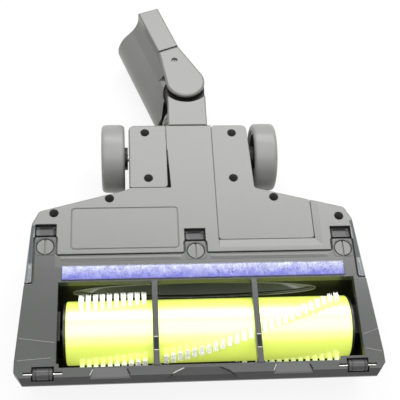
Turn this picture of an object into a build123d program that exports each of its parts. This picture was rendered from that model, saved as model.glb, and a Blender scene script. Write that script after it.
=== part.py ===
from build123d import *
import math
import os

os.makedirs("parts", exist_ok=True)

# Vacuum floor brush head, lying on its back with the sole up, in millimetres
# X runs across the head, Y from the front lip to the wand, Z up out of the sole
# The origin lies on the flat back of the top cover, which rests on the table

# Body outline seen from the sole
sole_height = 68.0
front_half_width = 140.0
front_corner_cut = 7.0
front_face_y = -76.0
front_corner_y = -68.0
rear_half_width = 131.5
rear_corner_y = 48.5
shoulder_half_width = 126.0
shoulder_y = 60.0
fork_half_width = 52.5
fork_root_y = 80.0
fork_end_y = 144.0
fork_taper = 2.5
corner_radius = 5.0
edge_round = 1.5
wall = 2.5
cover_taper = 6.0
deck_rear_y = 62.0
fork_drop = 12.0
fork_slope = 8.0

# Clearances: still parts, turning parts and shafts in their bores
fit_gap = 0.4
guard_gap = 1.1
turn_gap = 0.3
run_gap = 0.05

# Wheels
wheel_radius = 30.0
wheel_width = 20.0
wheel_drop = 2.0
wheel_x = 66.0
wheel_y = 127.5
tyre_thickness = 6.0
tyre_round = 4.0
hub_boss_radius = 7.0
hub_collar_radius = 10.0
hub_collar_gap = 0.8
hub_rim = 3.0
hub_inset = 1.5
spoke_count = 6
spoke_width = 4.0
spoke_depth = 10.0
axle_radius = 3.0
axle_head_radius = 5.0
axle_head = 1.6
axle_block = 9.0

# Brush roll and its chamber
roll_y = -36.0
roll_depth = 28.0
roll_left = -103.0
roll_right = 120.0
drum_radius = 25.0
drum_wall = 2.5
tuft_length = 6.5
tuft_width = 4.0
tuft_spread = 9.0
tuft_root = 3.2
tuft_side_gap = 0.2
tuft_sink = 1.2
tuft_pitch = 5.42
tuft_margin_left = 12.0
tuft_margin_right = 10.4
tuft_twist = 0.74
tuft_bend = 0.0016
tuft_front_x = 45.0
tuft_front_turn = 23.0
tuft_row_names = ["a", "b", "c"]
tuft_short_row = "c"
chamber_gap = 2.0
chamber_left = -112.0
chamber_right = 127.2
chamber_front_y = -74.0
trough_wall = 2.0
cap_flange = 2.0
cap_inset = 1.0
cap_plug = 6.0
roll_shaft_radius = 4.0
shaft_play = 2.0
bearing_width = 4.5
bearing_half_width = 12.0
bearing_height = 16.0
bearing_drop = 20.0

# Removable guard over the roll
guard_thickness = 4.0
guard_round = 2.0
guard_edge_round = 0.8
sole_wall = 2.0
guard_rear_y = 19.0
guard_strip_y = -5.0
window_left = -109.0
window_right = 125.0
window_front_y = -71.0
window_rear_y = -4.5
window_skirt = 1.6
window_step_left = -107.0
window_step_right = 106.0
window_step_y = -74.2
skirt_depth = 3.0
bar_left_x = -34.0
bar_right_x = 44.7
bar_width = 4.4
bar_rise = 1.0
bar_gap = 1.0
lip_y = -84.8
lip_depth = 9.0
lip_corner = 6.0
lip_corner_length = 8.0
lip_crease_y = -81.5
lip_crease_drop = 7.0
lip_centre_y = -76.3
lip_centre_drop = 6.0
lip_centre_top = 25.0
lip_centre_bottom = 58.7
lip_side_x = 68.8
lip_side_y = -75.5
lip_side_drop = 3.5
lip_side_top = 24.0
lip_side_bottom = 32.6

# Quarter-turn locks of the guard
lock_x = 120.0
lock_left_y = 27.0
lock_centre_y = 21.0
lock_right_y = 21.0
lock_radius = 6.5
lock_gap = 0.7
lock_head = 2.6
lock_stem_radius = 4.0
lock_tongue = 14.0
lock_tongue_width = 5.0
lock_tongue_thick = 1.8
lock_slot = 1.4
lock_slot_depth = 1.4
tab_half_width = 8.6
tab_reach = 9.0
pocket_length = 11.5
pocket_depth = 4.5

# Lint strip on the guard
lint_left = -106.0
lint_right = 118.0
lint_front_y = -2.6
lint_width = 11.0
lint_thick = 3.0
lint_seat = 1.4
lint_round = 2.0

# Small front rollers and their pins
roller_x = 118.5
roller_y = -78.0
roller_length = 15.4
roller_radius = 4.5
roller_round = 0.8
roller_drop = 1.8
roller_pin_radius = 1.0
roller_pin_length = 29.0
roller_pocket_gap = 0.6

# Covers on the fork and the rear of the sole
cover_thickness = 2.7
plate_inner_left = -20.5
plate_slot_front = 2.4
plate_slot_rear = 0.6
plate_slot_length = 37.0
plate_inner_right = 19.5
plate_front_gap = 1.0
plate_round = 3.0
panel_front_y = 31.6
panel_right = 98.0
dish_drop = 1.2
dish_front = 7.6
dish_side = 6.0
rating_left = -100.0
rating_right = -13.0
rating_front_y = 24.0
rating_rear_y = 62.0
rating_line = 0.8
rating_groove = 0.5
rating_round = 3.0

# Screws that hold the base to the top cover
screw_head_radius = 3.2
screw_head = 2.4
screw_cross = 1.0
screw_recess_radius = 3.75
screw_recess_depth = 20.0
screw_shank_radius = 1.5
screw_shank = 16.0
screw_boss_radius = 6.0
screw_places = [
    (-38.5, 136.0),
    (37.0, 136.0),
    (-36.4, 90.0),
    (35.4, 90.0),
    (-69.0, 70.7),
    (68.0, 70.8),
    (-114.0, 57.5),
    (120.5, 51.0),
]

# Suction duct from the chamber to the neck
mouth_half_width = 98.0
mouth_half_height = 14.0
mouth_rise = 4.2
mouth_cut = 8.0
duct_wall = 2.0
duct_radius = 16.5
duct_throat_y = 32.0
duct_end_y = 96.0

# Motor and belt drive
motor_radius = 17.0
motor_round = 2.0
motor_left = -110.0
motor_right = -58.0
motor_y = 36.0
motor_z = 34.0
motor_shaft_radius = 1.6
motor_shaft_sink = 10.0
motor_pulley_radius = 6.0
roll_pulley_radius = 14.0
pulley_left = -127.0
pulley_width = 9.0
belt_width = 7.0
belt_thick = 1.6
belt_gap = 0.3
bracket_length = 30.0
bracket_width = 26.0

# Neck, which tilts about the wheel axis
neck_x = -3.0
neck_half_width = 19.0
neck_barrel_radius = 25.0
neck_bottom_z = 13.0
neck_wall = 2.5
neck_slot_gap = 0.8
neck_slot_y = 97.0
cheek = 4.0
trunnion_radius = 12.0
trunnion_length = 4.4
lug = 2.4
lug_opening_y = 145.5
arm_x = -0.8
arm_half_width = 17.0
arm_round = 1.5

# Swivel and wand connector, turned to one side as it lies
swivel_y = 192.5
swivel_turn = 21.0
swivel_swing = 30.0
swivel_sweep = 2.5
ear_radius = 17.2
ear_gap = 6.5
ear_undercut = 3.0
ear_round = 2.2
ear_thick = 3.5
ear_lid = 2.8
ear_neck = 30.0
ear_seam = 40.0
ear_foot_start = 6.0
ear_foot_end = 16.0
ear_foot_half_width = 21.0
swivel_pin_radius = 4.0
swivel_pin_sink = 0.2
spine_half_width = 9.8
spine_round = 1.5
spine_start = 22.0
spine_end = 84.0
spine_skew = 18.0
spine_flare = 20.0
spine_bite = 0.4
spine_solid = 8.0
tube_radius = 25.0
tube_wall = 2.5
tube_shift = 6.5
tube_start = -12.0
tube_end = 86.0
socket_radius = 19.0
socket_length = 36.0
sleeve_start = 40.0
ear_screw_reach = 25.0
ear_screw_shank = 7.0
lid_screw_radius = 2.4
lid_screw_head = 1.2
lid_screw_cross = 0.8
lid_recess_radius = 2.7
contact_start = 66.0
contact_length = 12.0
contact_pin_radius = 1.5
contact_pin_spread = 7.0
contact_pin_length = 9.0

# Corrugated hose inside the neck
hose_radius = 12.4
hose_rib = 1.4
hose_wall = 1.2
hose_pitch = 4.5
hose_rib_width = 2.0
hose_swell = 6.0
hose_swell_y = 161.0
hose_swell_reach = 15.0
hose_cuff = 8.0
hose_bend = 40.0
hose_knee_y = 150.0
hose_swivel_z = 38.5
hose_seat_rise = 1.5
hose_lead = 6.0

# Places worked out from the sizes above
wheel_z = sole_height + wheel_drop - wheel_radius
parting_z = wheel_z
roll_z = sole_height - roll_depth
nose_radius = roll_z
tuft_tip_radius = drum_radius + tuft_length
chamber_radius = tuft_tip_radius + chamber_gap
chamber_rear_y = roll_y + chamber_radius
recess_floor_z = sole_height - guard_thickness
ceiling_z = recess_floor_z - sole_wall
lock_tongue_z = ceiling_z - turn_gap - lock_tongue_thick
lock_hole_length = lock_tongue + 2 * fit_gap
lock_hole_width = lock_tongue_width + 2 * fit_gap
neck_ceiling_z = wheel_z + neck_barrel_radius + turn_gap
slot_half_width = neck_half_width + neck_slot_gap
trunnion_end = slot_half_width + trunnion_length
trunnion_span = (neck_x - trunnion_end, neck_x + trunnion_end)
cover_seat_z = sole_height - cover_thickness
lip_bottom_z = sole_height - lip_depth
roller_z = sole_height + roller_drop - roller_radius
pocket_half = roller_length / 2 + roller_pocket_gap
pocket_radius = roller_radius + roller_pocket_gap
screw_seat_z = sole_height - screw_recess_depth
mouth_z = roll_z + mouth_rise
duct_start_y = chamber_rear_y + wall
duct_z = wheel_z
shaft_hole = roll_shaft_radius + shaft_play
motor_mid = (motor_left + motor_right) / 2
lint_seat_z = sole_height - lint_seat
ear_high_z = sole_height - ear_lid - ear_thick
ear_low_z = neck_bottom_z + ear_thick
lug_high_z = ear_high_z - turn_gap - lug
lug_low_z = ear_low_z + turn_gap + lug
tube_z = tube_radius
tube_bore = tube_radius - tube_wall
swing = math.radians(swivel_swing)
swing_room = arm_half_width + neck_slot_gap
swing_start = swing_room / math.cos(swing)
swing_end = swing_start - tube_start * math.tan(swing)
hose_seat_z = tube_z + hose_seat_rise
spine_top = sole_height - tube_z
guard_inner_x = lock_x + tab_half_width
side_slope = (front_half_width - rear_half_width) / (rear_corner_y - front_corner_y)
guard_strip_x = front_half_width - side_slope * (guard_strip_y - front_corner_y)
rear_slope = (fork_root_y - shoulder_y) / (shoulder_half_width - fork_half_width)
panel_rear_y = fork_root_y - rear_slope * (panel_right - fork_half_width)
bar_places = [bar_left_x, bar_right_x]
roller_places = {"left": -roller_x, "right": roller_x}
lock_places = {
    "left": (-lock_x, lock_left_y),
    "centre": (0.0, lock_centre_y),
    "right": (lock_x, lock_right_y),
}
tab_ends = {name: y + tab_reach for name, (x, y) in lock_places.items()}
lip_recesses = [
    (0.0, lip_centre_top, lip_centre_bottom, lip_centre_y, lip_centre_drop),
    (-lip_side_x, lip_side_top, lip_side_bottom, lip_side_y, lip_side_drop),
    (lip_side_x, lip_side_top, lip_side_bottom, lip_side_y, lip_side_drop),
]
roll_ends = [
    ("left", -1, roll_left, pulley_left, chamber_left),
    ("right", 1, roll_right, chamber_right - turn_gap, chamber_right),
]

outline_right = [
    (front_half_width - front_corner_cut, front_face_y),
    (front_half_width, front_corner_y),
    (rear_half_width, rear_corner_y),
    (shoulder_half_width, shoulder_y),
    (fork_half_width, fork_root_y),
    (fork_half_width, fork_end_y),
]
body_outline = (
    outline_right[:-1]
    + [(fork_half_width - fork_taper, fork_end_y)]
    + [(-x, y) for x, y in reversed(outline_right)]
)
lip_right = [
    (front_half_width - lip_corner, lip_y),
    (front_half_width, lip_y + lip_corner_length),
    (front_half_width, front_face_y - fit_gap),
]
lip_outline = lip_right + [(-x, y) for x, y in reversed(lip_right)]
guard_outline = [
    (front_half_width - lip_corner, lip_y),
    (front_half_width, lip_y + lip_corner_length),
    (front_half_width, front_corner_y),
    (guard_strip_x, guard_strip_y),
    (guard_inner_x, guard_strip_y),
    (guard_inner_x, tab_ends["right"]),
    (lock_x - tab_half_width, tab_ends["right"]),
    (lock_x - tab_half_width, guard_rear_y),
    (tab_half_width, guard_rear_y),
    (tab_half_width, tab_ends["centre"]),
    (-tab_half_width, tab_ends["centre"]),
    (-tab_half_width, guard_rear_y),
    (-lock_x + tab_half_width, guard_rear_y),
    (-lock_x + tab_half_width, tab_ends["left"]),
    (-guard_inner_x, tab_ends["left"]),
    (-guard_inner_x, guard_strip_y),
    (-guard_strip_x, guard_strip_y),
    (-front_half_width, front_corner_y),
    (-front_half_width, lip_y + lip_corner_length),
    (-front_half_width + lip_corner, lip_y),
]
left_cover_outline = [
    (-fork_half_width, fork_root_y + plate_front_gap),
    (plate_inner_left, fork_root_y + plate_front_gap),
    (plate_inner_left, fork_end_y),
    (-fork_half_width, fork_end_y),
]
right_cover_outline = [
    (plate_inner_right, fork_end_y),
    (plate_inner_right, panel_front_y),
    (panel_right, panel_front_y),
    (panel_right, panel_rear_y),
    (fork_half_width, fork_root_y),
    (fork_half_width - fork_taper, fork_end_y),
]
cover_outlines = {"axle_cover": left_cover_outline, "rear_cover": right_cover_outline}
cover_tops = {"axle_cover": sole_height, "rear_cover": sole_height - dish_drop}
plate_slot_y = fork_root_y + plate_front_gap
plate_slot = [
    (plate_inner_left, plate_slot_y),
    (plate_inner_left + plate_slot_front, plate_slot_y),
    (plate_inner_left + plate_slot_rear, plate_slot_y + plate_slot_length),
    (plate_inner_left, plate_slot_y + plate_slot_length),
]

# The connector's own frame: its Y runs along the wand, its Z stays upright
swivel_plane = Plane(
    origin=(arm_x, swivel_y, 0),
    x_dir=(math.cos(math.radians(swivel_turn)), math.sin(math.radians(swivel_turn)), 0),
    z_dir=(0, 0, 1),
)
wand_dir = swivel_plane.y_dir


def on_wand(reach, height):
    """Point above the wand's line at a distance from the swivel."""
    return swivel_plane.origin + wand_dir * reach + Vector(0, 0, height)


def across_wand(reach, height=tube_z, shift=0.0):
    """Plane across the wand at a distance from the swivel, facing away from it."""
    place = on_wand(reach, height) - swivel_plane.x_dir * shift
    return Plane(origin=place, x_dir=-swivel_plane.x_dir, z_dir=wand_dir)


def between(a, b):
    """Two ends in rising order."""
    return (min(a, b), max(a, b))


def block(x_span, y_span, z_span, mode=Mode.ADD):
    """Add or cut the box over three spans."""
    spans = (x_span, y_span, z_span)
    with Locations(tuple((low + high) / 2 for low, high in spans)):
        Box(*(high - low for low, high in spans), mode=mode)


def post(x, y, z_span, radius, mode=Mode.ADD):
    """Add or cut an upright cylinder."""
    with Locations((x, y, (z_span[0] + z_span[1]) / 2)):
        Cylinder(radius, z_span[1] - z_span[0], mode=mode)


def rod(y, z, x_span, radius, mode=Mode.ADD):
    """Add or cut a cylinder that lies along X."""
    with Locations(Location(((x_span[0] + x_span[1]) / 2, y, z), (0, 90, 0))):
        Cylinder(radius, x_span[1] - x_span[0], mode=mode)


def nose_arc(radius):
    """Quarter round from the front of the nose to its flat back."""
    reach = radius * math.sqrt(0.5)
    middle = (roll_y - reach, roll_z - reach)
    return (roll_y - radius, roll_z), middle, (roll_y, roll_z - radius)


def cover_profile(inset):
    """Side profile of the top cover behind the nose, up past the parting plane."""
    front = roll_y - nose_radius + inset
    return [
        (roll_y, inset),
        (deck_rear_y, inset),
        (fork_root_y + fork_slope, fork_drop + inset),
        (fork_end_y - inset, fork_drop + inset),
        (fork_end_y - inset, sole_height),
        (front, sole_height),
        (front, roll_z),
    ]


def tuft_row(start_turn, end_x):
    """Place and turn of each tuft in a row that winds round the drum, clear of the bars."""
    first = roll_left + tuft_margin_left
    count = int((end_x - first) / tuft_pitch) + 1
    clear = (bar_width + tuft_width) / 2 + bar_gap
    places = []
    for step in range(count):
        x = first + step * tuft_pitch
        reach = x - tuft_front_x
        if min(abs(x - bar) for bar in bar_places) > clear:
            places.append((x, start_turn - tuft_twist * reach - tuft_bend * reach**2))
    return places


def save(piece, name):
    """Label a finished piece and write its file."""
    piece.part.label = name
    export_step(piece.part, f"parts/{name}.step")


tuft_rows = {
    name: tuft_row(
        tuft_front_turn + step * 360.0 / len(tuft_row_names),
        min(bar_places) if name == tuft_short_row else roll_right - tuft_margin_right,
    )
    for step, name in enumerate(tuft_row_names)
}

# Outer form of the base, with its upper edges rounded
with BuildPart() as base_outside:
    with BuildSketch(Plane.XY) as base_plan:
        with BuildLine():
            Polyline(*body_outline, close=True)
        make_face()
        fillet(base_plan.vertices(), corner_radius)
    extrude(amount=sole_height)
    fillet(base_outside.faces().sort_by(Axis.Z)[-1].edges(), edge_round)

# Base housing: the sole, the brush chamber and one half of the wheel fork
with BuildPart() as base_housing:
    with BuildSketch(Plane.XY.offset(parting_z)):
        with BuildLine():
            Polyline(*body_outline, close=True)
        make_face()
    extrude(amount=sole_height - parting_z)
    with BuildSketch(Plane.XY.offset(parting_z)):
        with BuildLine():
            Polyline(*body_outline, close=True)
        make_face()
        offset(amount=-wall, kind=Kind.INTERSECTION)
    extrude(amount=ceiling_z - parting_z, mode=Mode.SUBTRACT)
    # Walls of the brush chamber and the round trough under the roll
    block(
        (chamber_left - wall, chamber_right + wall),
        (front_face_y, duct_start_y),
        (roll_z, recess_floor_z),
    )
    with BuildSketch(Plane.YZ.offset(chamber_left - wall)):
        with Locations((roll_y, roll_z)):
            Circle(chamber_radius + trough_wall)
        with Locations((roll_y, roll_z + chamber_radius)):
            Rectangle(3 * chamber_radius, 2 * chamber_radius, mode=Mode.SUBTRACT)
    extrude(amount=chamber_right - chamber_left + 2 * wall)
    # Bosses for the screws, blocks for the axles and cheeks beside the neck
    for x, y in screw_places:
        post(x, y, (parting_z, ceiling_z), screw_boss_radius)
    for side in (-1, 1):
        block(
            between(side * (fork_half_width - axle_block), side * fork_half_width),
            (wheel_y - axle_block, wheel_y + axle_block),
            (parting_z, ceiling_z),
        )
        block(
            between(neck_x + side * slot_half_width, neck_x + side * (slot_half_width + cheek)),
            (neck_slot_y, fork_end_y),
            (parting_z, ceiling_z),
        )
    # Everything stays inside the rounded outer form
    add(base_outside.part, mode=Mode.INTERSECT)
    # Room for the roll and its shaft
    block(
        (chamber_left, chamber_right),
        (chamber_front_y, chamber_rear_y),
        (roll_z, sole_height),
        mode=Mode.SUBTRACT,
    )
    rod(roll_y, roll_z, (chamber_left, chamber_right), chamber_radius, mode=Mode.SUBTRACT)
    rod(roll_y, roll_z, (chamber_left - wall, chamber_left), shaft_hole, mode=Mode.SUBTRACT)
    # Wide oval mouth in the chamber's rear wall
    with BuildSketch(Plane.XZ.offset(-duct_start_y)):
        with Locations((0, mouth_z)):
            Ellipse(mouth_half_width, mouth_half_height)
    extrude(amount=mouth_cut, mode=Mode.SUBTRACT)
    # Slot, bearings and axle seats of the neck and the wheels
    block(
        (neck_x - slot_half_width, neck_x + slot_half_width),
        (neck_slot_y, fork_end_y),
        (parting_z, neck_ceiling_z),
        mode=Mode.SUBTRACT,
    )
    rod(wheel_y, wheel_z, trunnion_span, trunnion_radius + turn_gap, mode=Mode.SUBTRACT)
    for side in (-1, 1):
        seat_span = between(side * (fork_half_width - axle_block), side * fork_half_width)
        rod(wheel_y, wheel_z, seat_span, axle_radius, mode=Mode.SUBTRACT)
    # Seat of the guard, the dark pockets behind its tabs and the lock holes
    with BuildSketch(Plane.XY.offset(recess_floor_z)) as guard_seat:
        with BuildLine():
            Polyline(*guard_outline, close=True)
        make_face()
        fillet(guard_seat.vertices(), guard_round)
        offset(amount=guard_gap)
    extrude(amount=guard_thickness, mode=Mode.SUBTRACT)
    for name, (x, y) in lock_places.items():
        block(
            (x - tab_half_width, x + tab_half_width),
            (tab_ends[name], tab_ends[name] + pocket_length),
            (sole_height - pocket_depth, sole_height),
            mode=Mode.SUBTRACT,
        )
        post(x, y, (ceiling_z, recess_floor_z), lock_stem_radius + turn_gap, mode=Mode.SUBTRACT)
        block(
            (x - lock_hole_length / 2, x + lock_hole_length / 2),
            (y - lock_hole_width / 2, y + lock_hole_width / 2),
            (ceiling_z, recess_floor_z),
            mode=Mode.SUBTRACT,
        )
    for x in roller_places.values():
        rod(roller_y, roller_z, (x - pocket_half, x + pocket_half), pocket_radius, mode=Mode.SUBTRACT)
    # Seats of the two covers, the slot beside the left one and the dish around the right one
    for name, cover_outline in cover_outlines.items():
        with BuildSketch(Plane.XY.offset(cover_tops[name] - cover_thickness)):
            with BuildLine():
                Polyline(*cover_outline, close=True)
            make_face()
            offset(amount=fit_gap, kind=Kind.INTERSECTION)
        extrude(amount=cover_thickness + dish_drop, mode=Mode.SUBTRACT)
    with BuildSketch(Plane.XY.offset(ceiling_z)):
        with BuildLine():
            Polyline(*plate_slot, close=True)
        make_face()
        offset(amount=fit_gap, kind=Kind.INTERSECTION)
    extrude(amount=sole_height - ceiling_z, mode=Mode.SUBTRACT)
    for top, front, side in ((cover_tops["rear_cover"], 0.0, 0.0), (sole_height, dish_front, dish_side)):
        with BuildSketch(Plane.XY.offset(top)):
            with BuildLine():
                Polyline(
                    (plate_inner_right, panel_front_y - front),
                    (panel_right + side, panel_front_y - front),
                    (panel_right + side, fork_root_y),
                    (plate_inner_right, fork_root_y),
                    close=True,
                )
            make_face()
    loft(mode=Mode.SUBTRACT)
    # Deep screw holes
    for x, y in screw_places:
        post(x, y, (screw_seat_z, sole_height), screw_recess_radius, mode=Mode.SUBTRACT)
        post(x, y, (parting_z, screw_seat_z), screw_shank_radius, mode=Mode.SUBTRACT)
    # Fine line around the bare rating panel
    with BuildSketch(Plane.XY.offset(sole_height - rating_groove)):
        with Locations(((rating_left + rating_right) / 2, (rating_front_y + rating_rear_y) / 2)):
            RectangleRounded(rating_right - rating_left, rating_rear_y - rating_front_y, rating_round)
            RectangleRounded(
                rating_right - rating_left - 2 * rating_line,
                rating_rear_y - rating_front_y - 2 * rating_line,
                rating_round - rating_line,
                mode=Mode.SUBTRACT,
            )
    extrude(amount=rating_groove, mode=Mode.SUBTRACT)
save(base_housing, "base_housing")

# Outside and inside of the top cover, with a round nose in front of the roll
with BuildPart() as cover_outside:
    with BuildSketch(Plane.YZ.offset(-front_half_width)):
        with BuildLine():
            ThreePointArc(*nose_arc(nose_radius))
            Polyline(*cover_profile(0.0))
        make_face()
    extrude(amount=2 * front_half_width)
    with BuildSketch(Plane.XY.offset(parting_z)) as cover_plan:
        with BuildLine():
            Polyline(*body_outline, close=True)
        make_face()
        fillet(cover_plan.vertices(), corner_radius)
    extrude(amount=-parting_z, taper=cover_taper, mode=Mode.INTERSECT)

with BuildPart() as cover_inside:
    with BuildSketch(Plane.YZ.offset(-front_half_width)):
        with BuildLine():
            ThreePointArc(*nose_arc(nose_radius - wall))
            Polyline(*cover_profile(wall))
        make_face()
    extrude(amount=2 * front_half_width)
    with BuildSketch(Plane.XY.offset(parting_z)):
        with BuildLine():
            Polyline(*body_outline, close=True)
        make_face()
        offset(amount=-wall, kind=Kind.INTERSECTION)
    extrude(amount=-parting_z, taper=cover_taper, mode=Mode.INTERSECT)

# Top cover: the shell that faces the room in use and rests on the table here
with BuildPart() as top_cover:
    add(cover_outside.part)
    add(cover_inside.part, mode=Mode.SUBTRACT)
    for x, y in screw_places:
        post(x, y, (0.0, parting_z), screw_boss_radius)
    for side in (-1, 1):
        block(
            between(side * (fork_half_width - axle_block), side * fork_half_width),
            (wheel_y - axle_block, wheel_y + axle_block),
            (0.0, parting_z),
        )
        block(
            between(neck_x + side * slot_half_width, neck_x + side * (slot_half_width + cheek)),
            (neck_slot_y, fork_end_y),
            (0.0, parting_z),
        )
    block(
        (neck_x - slot_half_width - cheek, neck_x + slot_half_width + cheek),
        (neck_slot_y - wall, neck_slot_y),
        (0.0, parting_z),
    )
    add(cover_outside.part, mode=Mode.INTERSECT)
    block(
        (neck_x - slot_half_width, neck_x + slot_half_width),
        (neck_slot_y, fork_end_y),
        (0.0, parting_z),
        mode=Mode.SUBTRACT,
    )
    rod(wheel_y, wheel_z, trunnion_span, trunnion_radius + turn_gap, mode=Mode.SUBTRACT)
    for side in (-1, 1):
        seat_span = between(side * (fork_half_width - axle_block), side * fork_half_width)
        rod(wheel_y, wheel_z, seat_span, axle_radius, mode=Mode.SUBTRACT)
    with BuildSketch(Plane.XZ.offset(-neck_slot_y)):
        with Locations((neck_x, duct_z)):
            Circle(duct_radius + duct_wall + turn_gap)
    extrude(amount=wall, mode=Mode.SUBTRACT)
    for x, y in screw_places:
        post(x, y, (screw_seat_z - screw_shank, parting_z), screw_shank_radius, mode=Mode.SUBTRACT)
save(top_cover, "top_cover")

# Ramps that let air in under the front lip
lip_ramps = []
for centre, top_width, bottom_width, start_y, drop in lip_recesses:
    with BuildPart() as lip_ramp:
        with BuildSketch(Plane.XY.offset(lip_bottom_z)):
            with BuildLine():
                Polyline(
                    (centre - bottom_width / 2, lip_y),
                    (centre + bottom_width / 2, lip_y),
                    (centre + top_width / 2, start_y),
                    (centre - top_width / 2, start_y),
                    close=True,
                )
            make_face()
        extrude(amount=lip_depth)
        with BuildSketch(Plane.YZ.offset(centre - bottom_width)):
            with BuildLine():
                Polyline(
                    (start_y, sole_height),
                    (lip_y, sole_height - drop),
                    (lip_y, sole_height),
                    close=True,
                )
            make_face()
        extrude(amount=2 * bottom_width, mode=Mode.INTERSECT)
    lip_ramps.append(lip_ramp.part)

# Guard: the frame over the roll, with two skid bars and the front lip
with BuildPart() as brush_guard:
    with BuildSketch(Plane.XY.offset(recess_floor_z)) as guard_plan:
        with BuildLine():
            Polyline(*guard_outline, close=True)
        make_face()
        fillet(guard_plan.vertices(), guard_round)
    extrude(amount=guard_thickness)
    fillet(brush_guard.faces().sort_by(Axis.Z)[-1].edges(), guard_edge_round)
    with BuildSketch(Plane.XY.offset(lip_bottom_z)):
        with BuildLine():
            Polyline(*lip_outline, close=True)
        make_face()
    extrude(amount=lip_depth - guard_thickness)
    with BuildSketch(Plane.YZ.offset(-front_half_width)):
        with BuildLine():
            Polyline(
                (lip_y, sole_height - lip_crease_drop),
                (lip_crease_y, sole_height),
                (lip_y, sole_height),
                close=True,
            )
        make_face()
    extrude(amount=2 * front_half_width, mode=Mode.SUBTRACT)
    block(
        (window_left - window_skirt, window_right + window_skirt),
        (window_front_y - window_skirt, window_rear_y + window_skirt),
        (recess_floor_z - skirt_depth, recess_floor_z),
    )
    block(
        (window_left, window_right),
        (window_front_y, window_rear_y),
        (recess_floor_z - skirt_depth, sole_height),
        mode=Mode.SUBTRACT,
    )
    block(
        (window_step_left, window_step_right),
        (window_step_y, window_front_y),
        (recess_floor_z - skirt_depth, sole_height),
        mode=Mode.SUBTRACT,
    )
    for x in bar_places:
        block(
            (x - bar_width / 2, x + bar_width / 2),
            (window_front_y, window_rear_y),
            (recess_floor_z - skirt_depth, sole_height + bar_rise),
        )
        block(
            (x - bar_width / 2, x + bar_width / 2),
            (window_step_y, window_front_y),
            (recess_floor_z, sole_height + bar_rise),
        )
        rod(roll_y, roll_z, (x - bar_width, x + bar_width), drum_radius + bar_gap, mode=Mode.SUBTRACT)
    # Holes for the locks and the seat of the lint strip
    for x, y in lock_places.values():
        post(x, y, (sole_height - lock_head, sole_height), lock_radius + lock_gap, mode=Mode.SUBTRACT)
        post(x, y, (recess_floor_z, sole_height), lock_stem_radius + turn_gap, mode=Mode.SUBTRACT)
    block(
        (lint_left - fit_gap, lint_right + fit_gap),
        (lint_front_y - fit_gap, lint_front_y + lint_width + fit_gap),
        (lint_seat_z, sole_height),
        mode=Mode.SUBTRACT,
    )
    # Pockets for the front rollers and grooves for their pins
    for x in roller_places.values():
        block(
            (x - pocket_half, x + pocket_half),
            (roller_y - pocket_radius, roller_y + pocket_radius),
            (roller_z - pocket_radius, sole_height),
            mode=Mode.SUBTRACT,
        )
        block(
            (x - roller_pin_length / 2, x + roller_pin_length / 2),
            (roller_y - roller_pin_radius, roller_y + roller_pin_radius),
            (roller_z - roller_pin_radius, sole_height),
            mode=Mode.SUBTRACT,
        )
    add(lip_ramps, mode=Mode.SUBTRACT)
save(brush_guard, "brush_guard")

# Lint strip of short pile, seated in the guard
with BuildPart() as lint_strip:
    block(
        (lint_left, lint_right),
        (lint_front_y, lint_front_y + lint_width),
        (lint_seat_z, lint_seat_z + lint_thick),
    )
    fillet(lint_strip.edges().filter_by(Axis.Z), lint_round)
    fillet(lint_strip.faces().sort_by(Axis.Z)[-1].edges(), lint_round / 2)
save(lint_strip, "lint_strip")

# Three quarter-turn locks, each with a coin slot and a tongue under the base
for name, (x, y) in lock_places.items():
    with BuildPart() as guard_lock:
        post(x, y, (sole_height - lock_head, sole_height), lock_radius)
        post(x, y, (lock_tongue_z, sole_height - lock_head), lock_stem_radius)
        block(
            (x - lock_tongue_width / 2, x + lock_tongue_width / 2),
            (y - lock_tongue / 2, y + lock_tongue / 2),
            (lock_tongue_z, lock_tongue_z + lock_tongue_thick),
        )
        block(
            (x - lock_slot / 2, x + lock_slot / 2),
            (y - lock_radius, y + lock_radius),
            (sole_height - lock_slot_depth, sole_height),
            mode=Mode.SUBTRACT,
        )
    save(guard_lock, f"guard_lock_{name}")

# Front rollers and the steel pins they turn on
for name, x in roller_places.items():
    roller_span = (x - roller_length / 2, x + roller_length / 2)
    with BuildPart() as front_roller:
        rod(roller_y, roller_z, roller_span, roller_radius)
        fillet(front_roller.edges().filter_by(GeomType.CIRCLE), roller_round)
        rod(roller_y, roller_z, roller_span, roller_pin_radius + run_gap, mode=Mode.SUBTRACT)
    save(front_roller, f"front_roller_{name}")
    with BuildPart() as front_roller_pin:
        rod(roller_y, roller_z, (x - roller_pin_length / 2, x + roller_pin_length / 2), roller_pin_radius)
    save(front_roller_pin, f"front_roller_pin_{name}")

# Covers over the wheel fork and the rear of the sole
for name, cover_outline in cover_outlines.items():
    with BuildPart() as cover:
        cover_low_z = cover_tops[name] - cover_thickness
        with BuildSketch(Plane.XY.offset(cover_low_z)) as cover_plate:
            with BuildLine():
                Polyline(*cover_outline, close=True)
            make_face()
            fillet(cover_plate.vertices(), plate_round)
        extrude(amount=cover_thickness)
        add(base_outside.part, mode=Mode.INTERSECT)
        for x, y in screw_places:
            post(x, y, (cover_low_z, sole_height), screw_recess_radius, mode=Mode.SUBTRACT)
    save(cover, name)

# Screws from the base into the top cover, at the bottom of their deep holes
with BuildPart() as body_screws:
    for x, y in screw_places:
        post(x, y, (screw_seat_z, screw_seat_z + screw_head), screw_head_radius)
        post(x, y, (screw_seat_z - screw_shank, screw_seat_z), screw_shank_radius)
        for long_x, long_y in ((screw_head_radius, screw_cross), (screw_cross, screw_head_radius)):
            block(
                (x - long_x / 2, x + long_x / 2),
                (y - long_y / 2, y + long_y / 2),
                (screw_seat_z + screw_head / 2, screw_seat_z + screw_head),
                mode=Mode.SUBTRACT,
            )
save(body_screws, "body_screws")

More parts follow.
